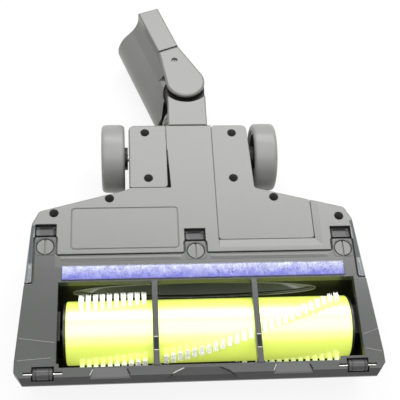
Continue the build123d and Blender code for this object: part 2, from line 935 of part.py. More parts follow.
# Brush roll: a hollow drum with a pocket for the foot of each tuft
with BuildPart() as brush_drum:
    rod(roll_y, roll_z, (roll_left, roll_right), drum_radius)
    rod(roll_y, roll_z, (roll_left, roll_right), drum_radius - drum_wall, mode=Mode.SUBTRACT)
    for places in tuft_rows.values():
        for x, turn in places:
            with Locations(Location((x, roll_y, roll_z), (turn, 0, 0))):
                with Locations((0, 0, drum_radius)):
                    Box(tuft_root, tuft_root, 2 * tuft_sink, mode=Mode.SUBTRACT)
save(brush_drum, "brush_drum")

# Bristle rows: tufts that spread out from their feet as they leave the drum
tuft_foot = tuft_root - tuft_side_gap
for name, places in tuft_rows.items():
    with BuildPart() as bristle_row:
        for x, turn in places:
            stand = Plane(Location((x, roll_y, roll_z), (turn, 0, 0)))
            with BuildSketch(stand.offset(drum_radius - tuft_sink)):
                Rectangle(tuft_foot, tuft_foot)
            extrude(amount=tuft_sink)
            with BuildSketch(stand.offset(drum_radius)):
                Rectangle(tuft_foot, tuft_foot)
            with BuildSketch(stand.offset(tuft_tip_radius)):
                Rectangle(tuft_width, tuft_spread)
            loft()
    save(bristle_row, f"bristle_row_{name}")

# End caps of the roll with their shaft stubs, and the blocks that carry them
for name, side, drum_end, shaft_end, chamber_end in roll_ends:
    with BuildPart() as roll_cap:
        rod(roll_y, roll_z, between(drum_end, drum_end + side * cap_flange), drum_radius - cap_inset)
        rod(roll_y, roll_z, between(drum_end, drum_end - side * cap_plug), drum_radius - drum_wall)
        rod(roll_y, roll_z, between(drum_end, shaft_end), roll_shaft_radius)
    save(roll_cap, f"roll_cap_{name}")
    bearing_span = between(chamber_end, chamber_end - side * bearing_width)
    with BuildPart() as bearing_block:
        block(
            bearing_span,
            (roll_y - bearing_half_width, roll_y + bearing_half_width),
            (roll_z - bearing_drop, roll_z + bearing_height),
        )
        rod(roll_y, roll_z, bearing_span, roll_shaft_radius + run_gap, mode=Mode.SUBTRACT)
    save(bearing_block, f"bearing_block_{name}")

# Belt drive: roll pulley, motor pulley on its shaft, and flat belt
pulley_span = (pulley_left, pulley_left + pulley_width)
with BuildPart() as roll_pulley:
    rod(roll_y, roll_z, pulley_span, roll_pulley_radius)
    rod(roll_y, roll_z, pulley_span, roll_shaft_radius, mode=Mode.SUBTRACT)
save(roll_pulley, "roll_pulley")

with BuildPart() as motor_pulley:
    rod(motor_y, motor_z, pulley_span, motor_pulley_radius)
    rod(motor_y, motor_z, (pulley_left, motor_left + motor_shaft_sink), motor_shaft_radius)
save(motor_pulley, "motor_pulley")

with BuildPart() as drive_belt:
    for grow, mode in ((belt_gap + belt_thick, Mode.ADD), (belt_gap, Mode.SUBTRACT)):
        with BuildSketch(Plane.YZ.offset(pulley_left + (pulley_width - belt_width) / 2)):
            with Locations((roll_y, roll_z)):
                Circle(roll_pulley_radius + grow)
            with Locations((motor_y, motor_z)):
                Circle(motor_pulley_radius + grow)
            make_hull()
        extrude(amount=belt_width, mode=mode)
save(drive_belt, "drive_belt")

with BuildPart() as brush_motor:
    rod(motor_y, motor_z, (motor_left, motor_right), motor_radius)
    fillet(brush_motor.edges().filter_by(GeomType.CIRCLE), motor_round)
    shaft_span = (motor_left, motor_left + motor_shaft_sink)
    rod(motor_y, motor_z, shaft_span, motor_shaft_radius + run_gap, mode=Mode.SUBTRACT)
save(brush_motor, "brush_motor")

with BuildPart() as motor_bracket:
    block(
        (motor_mid - bracket_length / 2, motor_mid + bracket_length / 2),
        (motor_y - bracket_width / 2, motor_y + bracket_width / 2),
        (wall, motor_z - motor_radius / 2),
    )
    rod(motor_y, motor_z, (motor_left, motor_right), motor_radius, mode=Mode.SUBTRACT)
save(motor_bracket, "motor_bracket")

# Suction duct: a wide oval mouth that narrows to a round pipe
with BuildPart() as suction_duct:
    for grow, mode in ((duct_wall, Mode.ADD), (0.0, Mode.SUBTRACT)):
        with BuildSketch(Plane.XZ.offset(-duct_start_y)):
            with Locations((0, mouth_z)):
                Ellipse(mouth_half_width + grow, mouth_half_height + grow)
        with BuildSketch(Plane.XZ.offset(-duct_throat_y)):
            with Locations((neck_x, duct_z)):
                Circle(duct_radius + grow)
        loft(mode=mode)
        with BuildSketch(Plane.XZ.offset(-duct_end_y)):
            with Locations((neck_x, duct_z)):
                Circle(duct_radius + grow)
        extrude(amount=duct_end_y - duct_throat_y, mode=mode)
save(suction_duct, "suction_duct")

# Neck: a barrel between the cheeks and an arm that ends in the swivel
neck_span = (neck_x - neck_half_width, neck_x + neck_half_width)
neck_hollow = (neck_span[0] + neck_wall, neck_span[1] - neck_wall)
arm_span = (arm_x - arm_half_width, arm_x + arm_half_width)
arm_hollow = (arm_span[0] + neck_wall, arm_span[1] - neck_wall)
neck_and_arm = (neck_span[0], arm_span[1])
neck_end_y = swivel_y - ear_radius - ear_gap - neck_wall
with BuildPart() as neck:
    block(arm_span, (wheel_y, swivel_y), (neck_bottom_z, sole_height))
    fillet(neck.edges().filter_by(Axis.Y).sort_by(Axis.Z)[-2:], arm_round)
    post(arm_x, swivel_y, (neck_bottom_z, sole_height), arm_half_width)
    rod(wheel_y, wheel_z, neck_span, neck_barrel_radius)
    block(
        neck_and_arm,
        (wheel_y - neck_barrel_radius, fork_end_y + fit_gap),
        (wheel_z + neck_barrel_radius, sole_height),
        mode=Mode.SUBTRACT,
    )
    # Inside of the arm, the barrel and the forked end
    block(
        arm_hollow,
        (wheel_y, neck_end_y),
        (neck_bottom_z + neck_wall, wheel_z + neck_barrel_radius - neck_wall),
        mode=Mode.SUBTRACT,
    )
    rod(wheel_y, wheel_z, neck_hollow, neck_barrel_radius - neck_wall, mode=Mode.SUBTRACT)
    block(
        neck_hollow,
        (wheel_y - neck_barrel_radius, wheel_y),
        (wheel_z - neck_barrel_radius, wheel_z + duct_radius),
        mode=Mode.SUBTRACT,
    )
    # The arm is open at its sides, so that the hose can bow out
    block(
        neck_and_arm,
        (lug_opening_y, swivel_y + arm_half_width),
        (lug_low_z, lug_high_z),
        mode=Mode.SUBTRACT,
    )
    # Round recesses for the connector's two ears, and the pin holes
    recess_radius = ear_radius + ear_gap
    post(arm_x, swivel_y, (ear_high_z - turn_gap, sole_height), recess_radius, mode=Mode.SUBTRACT)
    post(arm_x, swivel_y, (neck_bottom_z, ear_low_z + turn_gap), recess_radius, mode=Mode.SUBTRACT)
    pin_hole = swivel_pin_radius + run_gap
    post(arm_x, swivel_y, (neck_bottom_z, sole_height), pin_hole, mode=Mode.SUBTRACT)
    for side in (-1, 1):
        trunnion_root = neck_x + side * neck_half_width
        trunnion_tip = neck_x + side * (trunnion_end - turn_gap)
        rod(wheel_y, wheel_z, between(trunnion_root, trunnion_tip), trunnion_radius)
        trunnion_hollow = between(trunnion_root - side * neck_wall, trunnion_tip)
        rod(wheel_y, wheel_z, trunnion_hollow, trunnion_radius - neck_wall, mode=Mode.SUBTRACT)
save(neck, "neck")

# Wheels: a hub with spokes under a soft tyre, on a fixed steel axle
hub_radius = wheel_radius - tyre_thickness
for name, side in (("left", -1), ("right", 1)):
    tyre_span = (side * wheel_x - wheel_width / 2, side * wheel_x + wheel_width / 2)
    hub_span = (tyre_span[0] + hub_inset, tyre_span[1] - hub_inset)
    with BuildPart() as wheel_tyre:
        rod(wheel_y, wheel_z, tyre_span, wheel_radius)
        fillet(wheel_tyre.edges().filter_by(GeomType.CIRCLE), tyre_round)
        rod(wheel_y, wheel_z, tyre_span, hub_radius, mode=Mode.SUBTRACT)
    save(wheel_tyre, f"wheel_tyre_{name}")
    with BuildPart() as wheel_hub:
        rod(wheel_y, wheel_z, hub_span, hub_radius)
        rod(wheel_y, wheel_z, hub_span, hub_radius - hub_rim, mode=Mode.SUBTRACT)
        rod(wheel_y, wheel_z, hub_span, hub_boss_radius)
        collar_end = side * (fork_half_width + hub_collar_gap)
        rod(wheel_y, wheel_z, between(collar_end, side * wheel_x), hub_collar_radius)
        for step in range(spoke_count):
            spoke_turn = step * 360.0 / spoke_count
            with Locations(Location((side * wheel_x, wheel_y, wheel_z), (spoke_turn, 0, 0))):
                with Locations((0, 0, hub_radius / 2)):
                    Box(spoke_depth, spoke_width, hub_radius - hub_rim)
        axle_bore = between(collar_end, side * (wheel_x + wheel_width / 2))
        rod(wheel_y, wheel_z, axle_bore, axle_radius + run_gap, mode=Mode.SUBTRACT)
    save(wheel_hub, f"wheel_hub_{name}")
    axle_end = side * (wheel_x + wheel_width / 2 - hub_inset + turn_gap)
    with BuildPart() as wheel_axle:
        rod(wheel_y, wheel_z, between(side * (fork_half_width - axle_block), axle_end), axle_radius)
        rod(wheel_y, wheel_z, between(axle_end, axle_end + side * axle_head), axle_head_radius)
    save(wheel_axle, f"wheel_axle_{name}")

# Spine of the connector: upright on the right, flowing out into the tube on the left
flare_x = spine_half_width + spine_flare
flare_side = flare_x - tube_shift
flare_foot = tube_radius - spine_bite
flare_span = flare_foot + spine_flare
flare_z = math.sqrt(flare_span**2 - flare_side**2)
flare_half_turn = math.atan2(flare_z, flare_side) / 2
foot_x = tube_shift + flare_foot * flare_side / flare_span
foot_z = flare_foot * flare_z / flare_span
with BuildPart() as spine:
    with BuildSketch(across_wand(spine_start)):
        with BuildLine():
            Polyline(
                (spine_half_width, flare_z),
                (spine_half_width, spine_top),
                (-spine_half_width, spine_top),
                (-spine_half_width, tube_bore / 2),
                (foot_x, tube_bore / 2),
                (foot_x, foot_z),
            )
            ThreePointArc(
                (foot_x, foot_z),
                (
                    flare_x - spine_flare * math.cos(flare_half_turn),
                    flare_z - spine_flare * math.sin(flare_half_turn),
                ),
                (spine_half_width, flare_z),
            )
        make_face()
    extrude(amount=spine_end)
    spine_cut = across_wand(spine_end).rotated((0, -spine_skew, 0))
    split(bisect_by=spine_cut, keep=Keep.BOTTOM)
    fillet(spine.faces().sort_by(Axis.Z)[-1].edges(), spine_round)

# Wand connector: a round tube under a narrow spine, with two ears on the swivel
with BuildPart() as wand_connector:
    with BuildSketch(across_wand(tube_start, shift=tube_shift)):
        Circle(tube_radius)
    extrude(amount=tube_end - tube_start)
    add(spine.part)
    # Hollow of the tube, and the wiring space in the spine
    with BuildSketch(across_wand(tube_start, shift=tube_shift)):
        Circle(tube_bore)
    extrude(amount=2 * tube_end, mode=Mode.SUBTRACT)
    with BuildSketch(across_wand(spine_start + spine_solid, tube_z + tube_bore / 2)):
        with Locations((0, (ear_high_z - tube_z - tube_bore / 2) / 2)):
            Rectangle(2 * (spine_half_width - tube_wall), ear_high_z - tube_z - tube_bore / 2)
    extrude(amount=spine_end - spine_start, mode=Mode.SUBTRACT)
    # Room for the neck between the ears as the connector swings, and for the lid
    with BuildSketch(swivel_plane.offset(neck_bottom_z - swivel_sweep)):
        with BuildLine():
            Polyline(
                (-swing_start, 0),
                (-swing_end, tube_start),
                (2 * tube_radius, tube_start),
                (2 * tube_radius, 0),
                (swing_start, 0),
                (swing_room * math.cos(swing), swing_room * math.sin(swing)),
                close=True,
            )
        make_face()
    extrude(amount=sole_height, mode=Mode.SUBTRACT)
    with BuildSketch(swivel_plane.offset(ear_low_z)):
        Circle(arm_half_width + swivel_sweep)
    extrude(amount=ear_high_z - ear_low_z, mode=Mode.SUBTRACT)
    with BuildSketch(swivel_plane.offset(ear_high_z)) as ear_plan:
        Circle(ear_radius - ear_undercut)
        with Locations((0, (ear_neck + ear_seam) / 2)):
            Rectangle(2 * spine_half_width, ear_seam - ear_neck)
        make_hull()
    extrude(amount=ear_thick)
    with BuildSketch(swivel_plane.offset(ear_high_z + ear_thick)):
        with Locations((0, (ear_seam - ear_radius) / 2)):
            Rectangle(2 * ear_radius, ear_seam + ear_radius)
    extrude(amount=ear_lid, mode=Mode.SUBTRACT)
    with BuildSketch(swivel_plane.offset(neck_bottom_z)):
        Circle(ear_radius)
        with Locations((-tube_shift, (ear_foot_start + ear_foot_end) / 2)):
            Rectangle(2 * ear_foot_half_width, ear_foot_end - ear_foot_start)
    extrude(amount=ear_thick)
    post(arm_x, swivel_y, (neck_bottom_z, ear_high_z + ear_thick), swivel_pin_radius, mode=Mode.SUBTRACT)
    screw_point = on_wand(ear_screw_reach, 0)
    screw_hole = (ear_high_z + ear_thick - ear_screw_shank, ear_high_z + ear_thick)
    post(screw_point.X, screw_point.Y, screw_hole, screw_shank_radius, mode=Mode.SUBTRACT)
save(wand_connector, "wand_connector")

# Lid over the swivel, with its screw
with BuildPart() as swivel_lid:
    with BuildSketch(swivel_plane.offset(ear_high_z + ear_thick)):
        Circle(ear_radius)
        with Locations((0, (ear_neck + ear_seam - fit_gap) / 2)):
            Rectangle(2 * spine_half_width, ear_seam - fit_gap - ear_neck)
        make_hull()
    extrude(amount=ear_lid)
    fillet(swivel_lid.faces().sort_by(Axis.Z)[-1].edges(), ear_round)
    lid_span = (ear_high_z + ear_thick, sole_height)
    post(screw_point.X, screw_point.Y, lid_span, lid_recess_radius, mode=Mode.SUBTRACT)
save(swivel_lid, "swivel_lid")

with BuildPart() as lid_screw:
    lid_screw_top = lid_span[0] + lid_screw_head
    post(screw_point.X, screw_point.Y, (lid_span[0], lid_screw_top), lid_screw_radius)
    post(screw_point.X, screw_point.Y, screw_hole, screw_shank_radius)
    for long_x, long_y in ((lid_screw_radius, lid_screw_cross), (lid_screw_cross, lid_screw_radius)):
        with Locations((screw_point.X, screw_point.Y, lid_screw_top)):
            Box(long_x, long_y, lid_screw_head, mode=Mode.SUBTRACT)
save(lid_screw, "lid_screw")

# Two short pins that join the ears to the neck
pin_spans = {
    "upper": (lug_high_z + swivel_pin_sink, ear_high_z + ear_thick),
    "lower": (neck_bottom_z, lug_low_z - swivel_pin_sink),
}
for name, pin_span in pin_spans.items():
    with BuildPart() as swivel_pin:
        post(arm_x, swivel_y, pin_span, swivel_pin_radius)
    save(swivel_pin, f"swivel_pin_{name}")

# Sleeve inside the tube: the socket for the wand and the seat of the hose
with BuildPart() as socket_sleeve:
    with BuildSketch(across_wand(sleeve_start, shift=tube_shift)):
        Circle(tube_bore)
    extrude(amount=tube_end - sleeve_start)
    with BuildSketch(across_wand(tube_end - socket_length, shift=tube_shift)):
        Circle(socket_radius)
    extrude(amount=socket_length, mode=Mode.SUBTRACT)
    with BuildSketch(across_wand(sleeve_start, hose_seat_z, tube_shift)):
        Circle(duct_radius)
    extrude(amount=tube_end - socket_length - sleeve_start, mode=Mode.SUBTRACT)
save(socket_sleeve, "socket_sleeve")

# Contact block in the spine, with two pins for the wand's supply
contact_half_width = spine_half_width - tube_wall - fit_gap
contact_low_z = tube_z + tube_bore + fit_gap
contact_mid_z = (contact_low_z + ear_high_z - fit_gap) / 2
with BuildPart() as contact_block:
    with BuildSketch(across_wand(contact_start, contact_mid_z)):
        Rectangle(2 * contact_half_width, ear_high_z - fit_gap - contact_low_z)
    extrude(amount=contact_length)
    with BuildSketch(across_wand(contact_start + contact_length / 2, contact_mid_z)):
        with GridLocations(contact_pin_spread, 1, 2, 1):
            Circle(contact_pin_radius)
    extrude(amount=contact_length / 2, mode=Mode.SUBTRACT)
save(contact_block, "contact_block")

with BuildPart() as contact_pins:
    with BuildSketch(across_wand(contact_start + contact_length / 2, contact_mid_z)):
        with GridLocations(contact_pin_spread, 1, 2, 1):
            Circle(contact_pin_radius)
    extrude(amount=contact_pin_length)
save(contact_pins, "contact_pins")

# Corrugated hose from the duct through the neck to the sleeve
hose_points = [
    Vector(neck_x, duct_end_y - hose_cuff, duct_z),
    Vector(neck_x, hose_knee_y, duct_z),
    Vector(arm_x, swivel_y, hose_swivel_z),
    across_wand(sleeve_start - hose_lead, hose_seat_z, tube_shift).origin,
    across_wand(sleeve_start + hose_cuff, hose_seat_z, tube_shift).origin,
]
with BuildPart() as flex_hose:
    with BuildLine() as hose_path:
        FilletPolyline(*hose_points, radius=hose_bend)
    hose_wire = hose_path.wires()[0]
    with BuildSketch(Plane(origin=hose_wire @ 0, z_dir=hose_wire % 0)):
        Circle(hose_radius)
        Circle(hose_radius - hose_wall, mode=Mode.SUBTRACT)
    sweep(path=hose_wire)
    rib_count = int((hose_wire.length - 2 * hose_cuff) / hose_pitch)
    for step in range(rib_count):
        rib_at = (hose_cuff + (step + 0.5) * hose_pitch) / hose_wire.length
        off_middle = ((hose_wire @ rib_at).Y - hose_swell_y) / hose_swell_reach
        swell = hose_swell * max(0.0, 1.0 - off_middle**2)
        with BuildSketch(Plane(origin=hose_wire @ rib_at, z_dir=hose_wire % rib_at)):
            Circle(hose_radius + hose_rib + swell)
            Circle(hose_radius - hose_wall / 2, mode=Mode.SUBTRACT)
        extrude(amount=hose_rib_width)
    for cuff_at, cuff_side in ((0.0, 1), (1.0, -1)):
        with BuildSketch(Plane(origin=hose_wire @ cuff_at, z_dir=(hose_wire % cuff_at) * cuff_side)):
            Circle(duct_radius - turn_gap)
            Circle(hose_radius - hose_wall / 2, mode=Mode.SUBTRACT)
        extrude(amount=hose_cuff)
save(flex_hose, "flex_hose")
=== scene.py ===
# %% [markdown]
# # A vacuum floor brush head
# The head lies on its back on a white table, sole up, and we look down on it from
# the front. The solids of the head come in as a fixed frame. In this lesson we light
# them, give each one its finish, and make the pieces that a plain solid can't show:
# bristles, pile, a ribbed hose, rounded tyres and fine moulded lines.

# %% Load the frame
import math

import bmesh
import bpy
import numpy as np
from mathutils import Matrix, Vector


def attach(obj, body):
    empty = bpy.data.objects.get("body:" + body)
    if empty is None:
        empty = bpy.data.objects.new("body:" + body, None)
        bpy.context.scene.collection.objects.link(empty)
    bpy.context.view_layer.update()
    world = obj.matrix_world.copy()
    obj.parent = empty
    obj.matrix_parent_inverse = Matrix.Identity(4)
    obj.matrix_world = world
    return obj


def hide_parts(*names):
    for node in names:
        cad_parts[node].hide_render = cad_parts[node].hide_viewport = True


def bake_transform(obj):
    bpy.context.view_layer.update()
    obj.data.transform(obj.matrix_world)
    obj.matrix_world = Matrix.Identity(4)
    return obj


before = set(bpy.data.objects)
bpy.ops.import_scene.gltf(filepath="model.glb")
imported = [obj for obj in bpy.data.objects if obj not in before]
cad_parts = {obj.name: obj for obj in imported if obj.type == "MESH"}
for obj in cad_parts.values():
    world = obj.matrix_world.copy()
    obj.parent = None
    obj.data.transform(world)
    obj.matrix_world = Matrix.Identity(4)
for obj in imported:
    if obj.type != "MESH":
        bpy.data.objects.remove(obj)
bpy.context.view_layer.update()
MM = 0.001
rng = np.random.default_rng(7)

# %% [markdown]
# ## Where we stand
# The photograph was taken from in front of the lip and above it, with the camera
# turned a little about its own axis, so the table's edge runs downhill. A camera is
# three directions: right, up and back. We work them out from the three angles and put
# them into one matrix, which is safer than three chained rotations.

# %% Camera
CAMERA_PLACE = (-53.7, -306.4, 711.6)
CAMERA_YAW, CAMERA_TILT, CAMERA_ROLL = (math.radians(a) for a in (9.03, 59.5, 6.98))
LENS_MM, SENSOR_MM = 81.0, 36.0

camera_data = bpy.data.cameras.new("camera")
camera_data.lens = LENS_MM
camera_data.sensor_width = SENSOR_MM
camera = bpy.data.objects.new("camera", camera_data)
bpy.context.scene.collection.objects.link(camera)
forward = Vector((math.sin(CAMERA_YAW) * math.cos(CAMERA_TILT),
                  math.cos(CAMERA_YAW) * math.cos(CAMERA_TILT),
                  -math.sin(CAMERA_TILT)))
level = Vector((math.cos(CAMERA_YAW), -math.sin(CAMERA_YAW), 0.0))
rise = level.cross(forward)
right = math.cos(CAMERA_ROLL) * level + math.sin(CAMERA_ROLL) * rise
up = math.cos(CAMERA_ROLL) * rise - math.sin(CAMERA_ROLL) * level
turn = Matrix((right, up, -forward)).transposed().to_4x4()
camera.matrix_world = Matrix.Translation(Vector(CAMERA_PLACE) * MM) @ turn
bpy.context.scene.camera = camera
bpy.context.scene.view_settings.view_transform = "Standard"
print("camera at", tuple(round(v, 4) for v in camera.location))

# %% [markdown]
# ## Table and light
# A product table is a white sweep under large soft boxes. One box hangs behind the
# head, so that the flat rear of the sole mirrors it and turns pale, while the guard in
# front of it stays dark. A wide panel hangs right above, and draws the broad white band
# along the top of the glossy drum. The table and the world are plain white to the
# camera and to reflections, but light the head at an ordinary level. Part of the
# table's own shading is kept, so the head still has a shadow.

# %% Light helpers
def new_material(name):
    """An empty node material and its node tree, with only the output left in it."""
    material = bpy.data.materials.new(name)
    material.use_nodes = True
    tree = material.node_tree
    for node in [n for n in tree.nodes if n.type != "OUTPUT_MATERIAL"]:
        tree.nodes.remove(node)
    return material, tree


def seen_or_mirrored(tree):
    """A socket that is 1 for rays from the camera, from mirrors and through glass, else 0."""
    path = tree.nodes.new("ShaderNodeLightPath")
    both = tree.nodes.new("ShaderNodeMath")
    both.operation = "MAXIMUM"
    tree.links.new(path.outputs["Is Camera Ray"], both.inputs[0])
    tree.links.new(path.outputs["Is Glossy Ray"], both.inputs[1])
    every = tree.nodes.new("ShaderNodeMath")
    every.operation = "MAXIMUM"
    tree.links.new(both.outputs[0], every.inputs[0])
    tree.links.new(path.outputs["Is Transmission Ray"], every.inputs[1])
    return every.outputs[0]


def soft_box(name, place, target, width, depth, radiance):
    """A rectangular lamp at place that faces target; its power is radiance times pi times its area."""
    lamp = bpy.data.lights.new(name, "AREA")
    lamp.shape = "RECTANGLE"
    lamp.size = width
    lamp.size_y = depth
    lamp.energy = radiance * math.pi * width * depth
    holder = bpy.data.objects.new(name, lamp)
    bpy.context.scene.collection.objects.link(holder)
    aim = (Vector(target) - Vector(place)).to_track_quat("-Z", "Y")
    holder.matrix_world = Matrix.Translation(Vector(place)) @ aim.to_matrix().to_4x4()
    return holder


# %% Table
TABLE_HALF, TABLE_DROP = 3.0, 0.0005
TABLE_COLOUR, WHITE_SHARE = (0.86, 0.86, 0.86), 0.86

table_mesh = bpy.data.meshes.new("table")
corners = np.array([(-1, -1, 0), (1, -1, 0), (1, 1, 0), (-1, 1, 0)], float) * TABLE_HALF
table_mesh.from_pydata(corners.tolist(), [], [(0, 1, 2, 3)])
table = bpy.data.objects.new("table", table_mesh)
table.location.z = -TABLE_DROP
bpy.context.scene.collection.objects.link(table)
table_material, tree = new_material("table_white")
shaded = tree.nodes.new("ShaderNodeBsdfDiffuse")
shaded.inputs["Color"].default_value = (*TABLE_COLOUR, 1.0)
glow = tree.nodes.new("ShaderNodeEmission")
glow.inputs["Strength"].default_value = 1.0
amount = tree.nodes.new("ShaderNodeMath")
amount.operation = "MULTIPLY"
amount.inputs[1].default_value = WHITE_SHARE
tree.links.new(seen_or_mirrored(tree), amount.inputs[0])
blend = tree.nodes.new("ShaderNodeMixShader")
tree.links.new(amount.outputs[0], blend.inputs[0])
tree.links.new(shaded.outputs[0], blend.inputs[1])
tree.links.new(glow.outputs[0], blend.inputs[2])
tree.links.new(blend.outputs[0], tree.nodes["Material Output"].inputs["Surface"])
table_mesh.materials.append(table_material)
print("table", 2.0 * TABLE_HALF, "m wide")

# %% World and lamps
WORLD_LIGHT = 0.34
LAMPS = {  # place, target, width, depth and radiance
    "rear_box": ((0.12, 0.98, 1.2), (0.0, 0.08, 0.06), 1.8, 0.70, 4.6),
    "top_panel": ((0.0, -0.34, 1.5), (0.0, -0.34, 0.0), 2.0, 1.36, 2.0),
}

world = bpy.data.worlds.new("studio")
bpy.context.scene.world = world
world.use_nodes = True
tree = world.node_tree
back = tree.nodes["Background"]
strength = tree.nodes.new("ShaderNodeMapRange")
strength.inputs["To Min"].default_value = WORLD_LIGHT
strength.inputs["To Max"].default_value = 1.0
tree.links.new(seen_or_mirrored(tree), strength.inputs["Value"])
tree.links.new(strength.outputs[0], back.inputs["Strength"])
back.inputs["Color"].default_value = (1.0, 1.0, 1.0, 1.0)

print("lamps", [soft_box(name, *setting).name for name, setting in LAMPS.items()])

# %% [markdown]
# ## Finishes
# Nearly all of the head is moulded plastic, so one recipe serves with other numbers:
# a colour that drifts slowly over the part, a roughness that drifts with it, fine grain
# as bump, and a bevel normal that rounds the edges for the light. Textures read Object
# coordinates, which are metres here, so a grain size in millimetres is easy to state.
# Strands and ribs carry a number called grow, from 0 at the root to 1 at the tip, and
# the same recipe can paint shade and reflected colour along it.

# %% Plastic recipe
def plastic(name, colour, roughness, grain=0.35, depth=0.02, edge=0.5, drift=0.08, specular=0.5, coat=0.0,
            patch=30.0, root=None, sheen=0.0, coat_ior=1.5, coat_rough=0.12, glow=0.0):
    """Moulded plastic. The colour swings by drift about its mean on a noise of patch millimetres,
    and roughness with it. Bump of depth millimetres on a noise of grain millimetres rides on a normal
    that is rounded over edge millimetres. With a root colour, the surface shades from it along grow.
    Glow is painted light: an emission of the plastic's own colour that brightens it where it lies in shade."""
    material, tree = new_material(name)
    nodes, links = tree.nodes, tree.links
    place = nodes.new("ShaderNodeTexCoord")
    shader = nodes.new("ShaderNodeBsdfPrincipled")
    slow = nodes.new("ShaderNodeTexNoise")
    slow.inputs["Scale"].default_value = 1.0 / (patch * MM)
    slow.inputs["Detail"].default_value = 4.0
    links.new(place.outputs["Object"], slow.inputs["Vector"])
    tint = nodes.new("ShaderNodeMix")
    tint.data_type = "RGBA"
    tint.inputs["A"].default_value = (*[c * (1.0 - drift) for c in colour], 1.0)
    tint.inputs["B"].default_value = (*[min(c * (1.0 + drift), 1.0) for c in colour], 1.0)
    links.new(slow.outputs["Fac"], tint.inputs["Factor"])
    shown = tint.outputs["Result"]
    if root:
        grow = nodes.new("ShaderNodeAttribute")
        grow.attribute_name = "grow"
        along = nodes.new("ShaderNodeMix")
        along.data_type = "RGBA"
        along.inputs["A"].default_value = (*root, 1.0)
        links.new(grow.outputs["Fac"], along.inputs["Factor"])
        links.new(shown, along.inputs["B"])
        shown = along.outputs["Result"]
    links.new(shown, shader.inputs["Base Color"])
    rough = nodes.new("ShaderNodeMapRange")
    rough.inputs["To Min"].default_value = roughness * (1.0 - drift)
    rough.inputs["To Max"].default_value = roughness * (1.0 + drift)
    links.new(slow.outputs["Fac"], rough.inputs["Value"])
    links.new(rough.outputs[0], shader.inputs["Roughness"])
    fine = nodes.new("ShaderNodeTexNoise")
    fine.inputs["Scale"].default_value = 1.0 / (grain * MM)
    fine.inputs["Detail"].default_value = 2.0
    links.new(place.outputs["Object"], fine.inputs["Vector"])
    bump = nodes.new("ShaderNodeBump")
    bump.inputs["Strength"].default_value = 0.6
    bump.inputs["Distance"].default_value = depth * MM
    links.new(fine.outputs["Fac"], bump.inputs["Height"])
    if edge:
        rounded = nodes.new("ShaderNodeBevel")
        rounded.samples = 4
        rounded.inputs["Radius"].default_value = edge * MM
        links.new(rounded.outputs[0], bump.inputs["Normal"])
    links.new(bump.outputs[0], shader.inputs["Normal"])
    shader.inputs["Specular IOR Level"].default_value = specular
    shader.inputs["Coat Weight"].default_value = coat
    shader.inputs["Coat Roughness"].default_value = coat_rough
    shader.inputs["Coat IOR"].default_value = coat_ior
    shader.inputs["Emission Color"].default_value = (*colour, 1.0)
    shader.inputs["Emission Strength"].default_value = glow
    shader.inputs["Sheen Weight"].default_value = sheen
    links.new(shader.outputs[0], nodes["Material Output"].inputs["Surface"])
    return material


# %% Plastics of the head
SOLE_GREY = (0.157, 0.161, 0.150)
GUARD_GREY = (0.060, 0.063, 0.060)
# Painted shade: near-black for the chamber, the swivel recess, notches, ramp sides and the slot floor.
PAINTED_SHADE_BLACK = (0.016, 0.016, 0.016)

sole_plastic = plastic("sole_plastic", SOLE_GREY, 0.30, edge=0.8, specular=0.75)
base_plastic = plastic("base_plastic", SOLE_GREY, 0.30, edge=0.8, specular=0.75)
# neck_plastic is the sole plastic with painted shade in the swivel recess.
neck_plastic = plastic("neck_plastic", SOLE_GREY, 0.30, edge=0.8, specular=0.75)
guard_plastic = plastic("guard_plastic", GUARD_GREY, 0.22, depth=0.008, edge=0.8, specular=0.6)
inner_plastic = plastic("inner_plastic", (0.03, 0.03, 0.028), 0.3, edge=0.4)
duct_plastic = plastic("duct_plastic", (0.15, 0.16, 0.17), 0.12, depth=0.003, edge=0.4, coat=0.6)
# Painted shade: a near-black lining for the pockets behind the locks.
pocket_painted_shade = plastic("pocket_painted_shade", (0.025, 0.025, 0.026), 0.2, depth=0.004, edge=0.4)
rim_plastic = plastic("rim_plastic", (0.16, 0.165, 0.15), 0.2, edge=0, coat=0.5)
wheel_plastic = plastic("wheel_plastic", (0.26, 0.264, 0.252), 0.36, grain=0.5, edge=0.6)
hub_plastic = plastic("hub_plastic", (0.035, 0.035, 0.033), 0.35, edge=0.5)
roller_plastic = plastic("roller_plastic", (0.045, 0.045, 0.045), 0.3, edge=0)
lock_plastic = plastic("lock_plastic", (0.15, 0.154, 0.147), 0.28, edge=0.4, specular=0.65)
flank_plastic = plastic("flank_plastic", (0.062, 0.075, 0.083), 0.34, depth=0.004, edge=0, specular=0.3)
# Painted shade for notches, ramp sides and the slot floor, and painted highlight lines for ramp and bar edges.
painted_shade_plastic = plastic("painted_shade_plastic", PAINTED_SHADE_BLACK, 0.5, edge=0, specular=0.15)
painted_highlight_plastic = plastic("painted_highlight_plastic", (0.55, 0.56, 0.53), 0.25, edge=0)
pad_plastic = plastic("pad_plastic", (0.14, 0.17, 0.19), 0.16, depth=0.004, edge=0, specular=0.8, coat=0.5)
# The drum's glow is painted light, which keeps the lime bright where it lies in shade.
drum_plastic = plastic("drum_plastic", (0.80, 0.94, 0.15), 0.34, grain=0.8, depth=0.004, drift=0.03,
                       edge=0, specular=1.0, coat=1.0, coat_ior=2.6, coat_rough=0.33, glow=0.76)
# The bristles' lime root colour is a painted reflection of the drum, and their glow is painted light.
bristle_fibre = plastic("bristle_fibre", (0.95, 0.96, 0.91), 0.45, grain=0.3, depth=0.0, edge=0, drift=0.04,
                        patch=4.0, root=(0.90, 0.94, 0.64), glow=0.14)
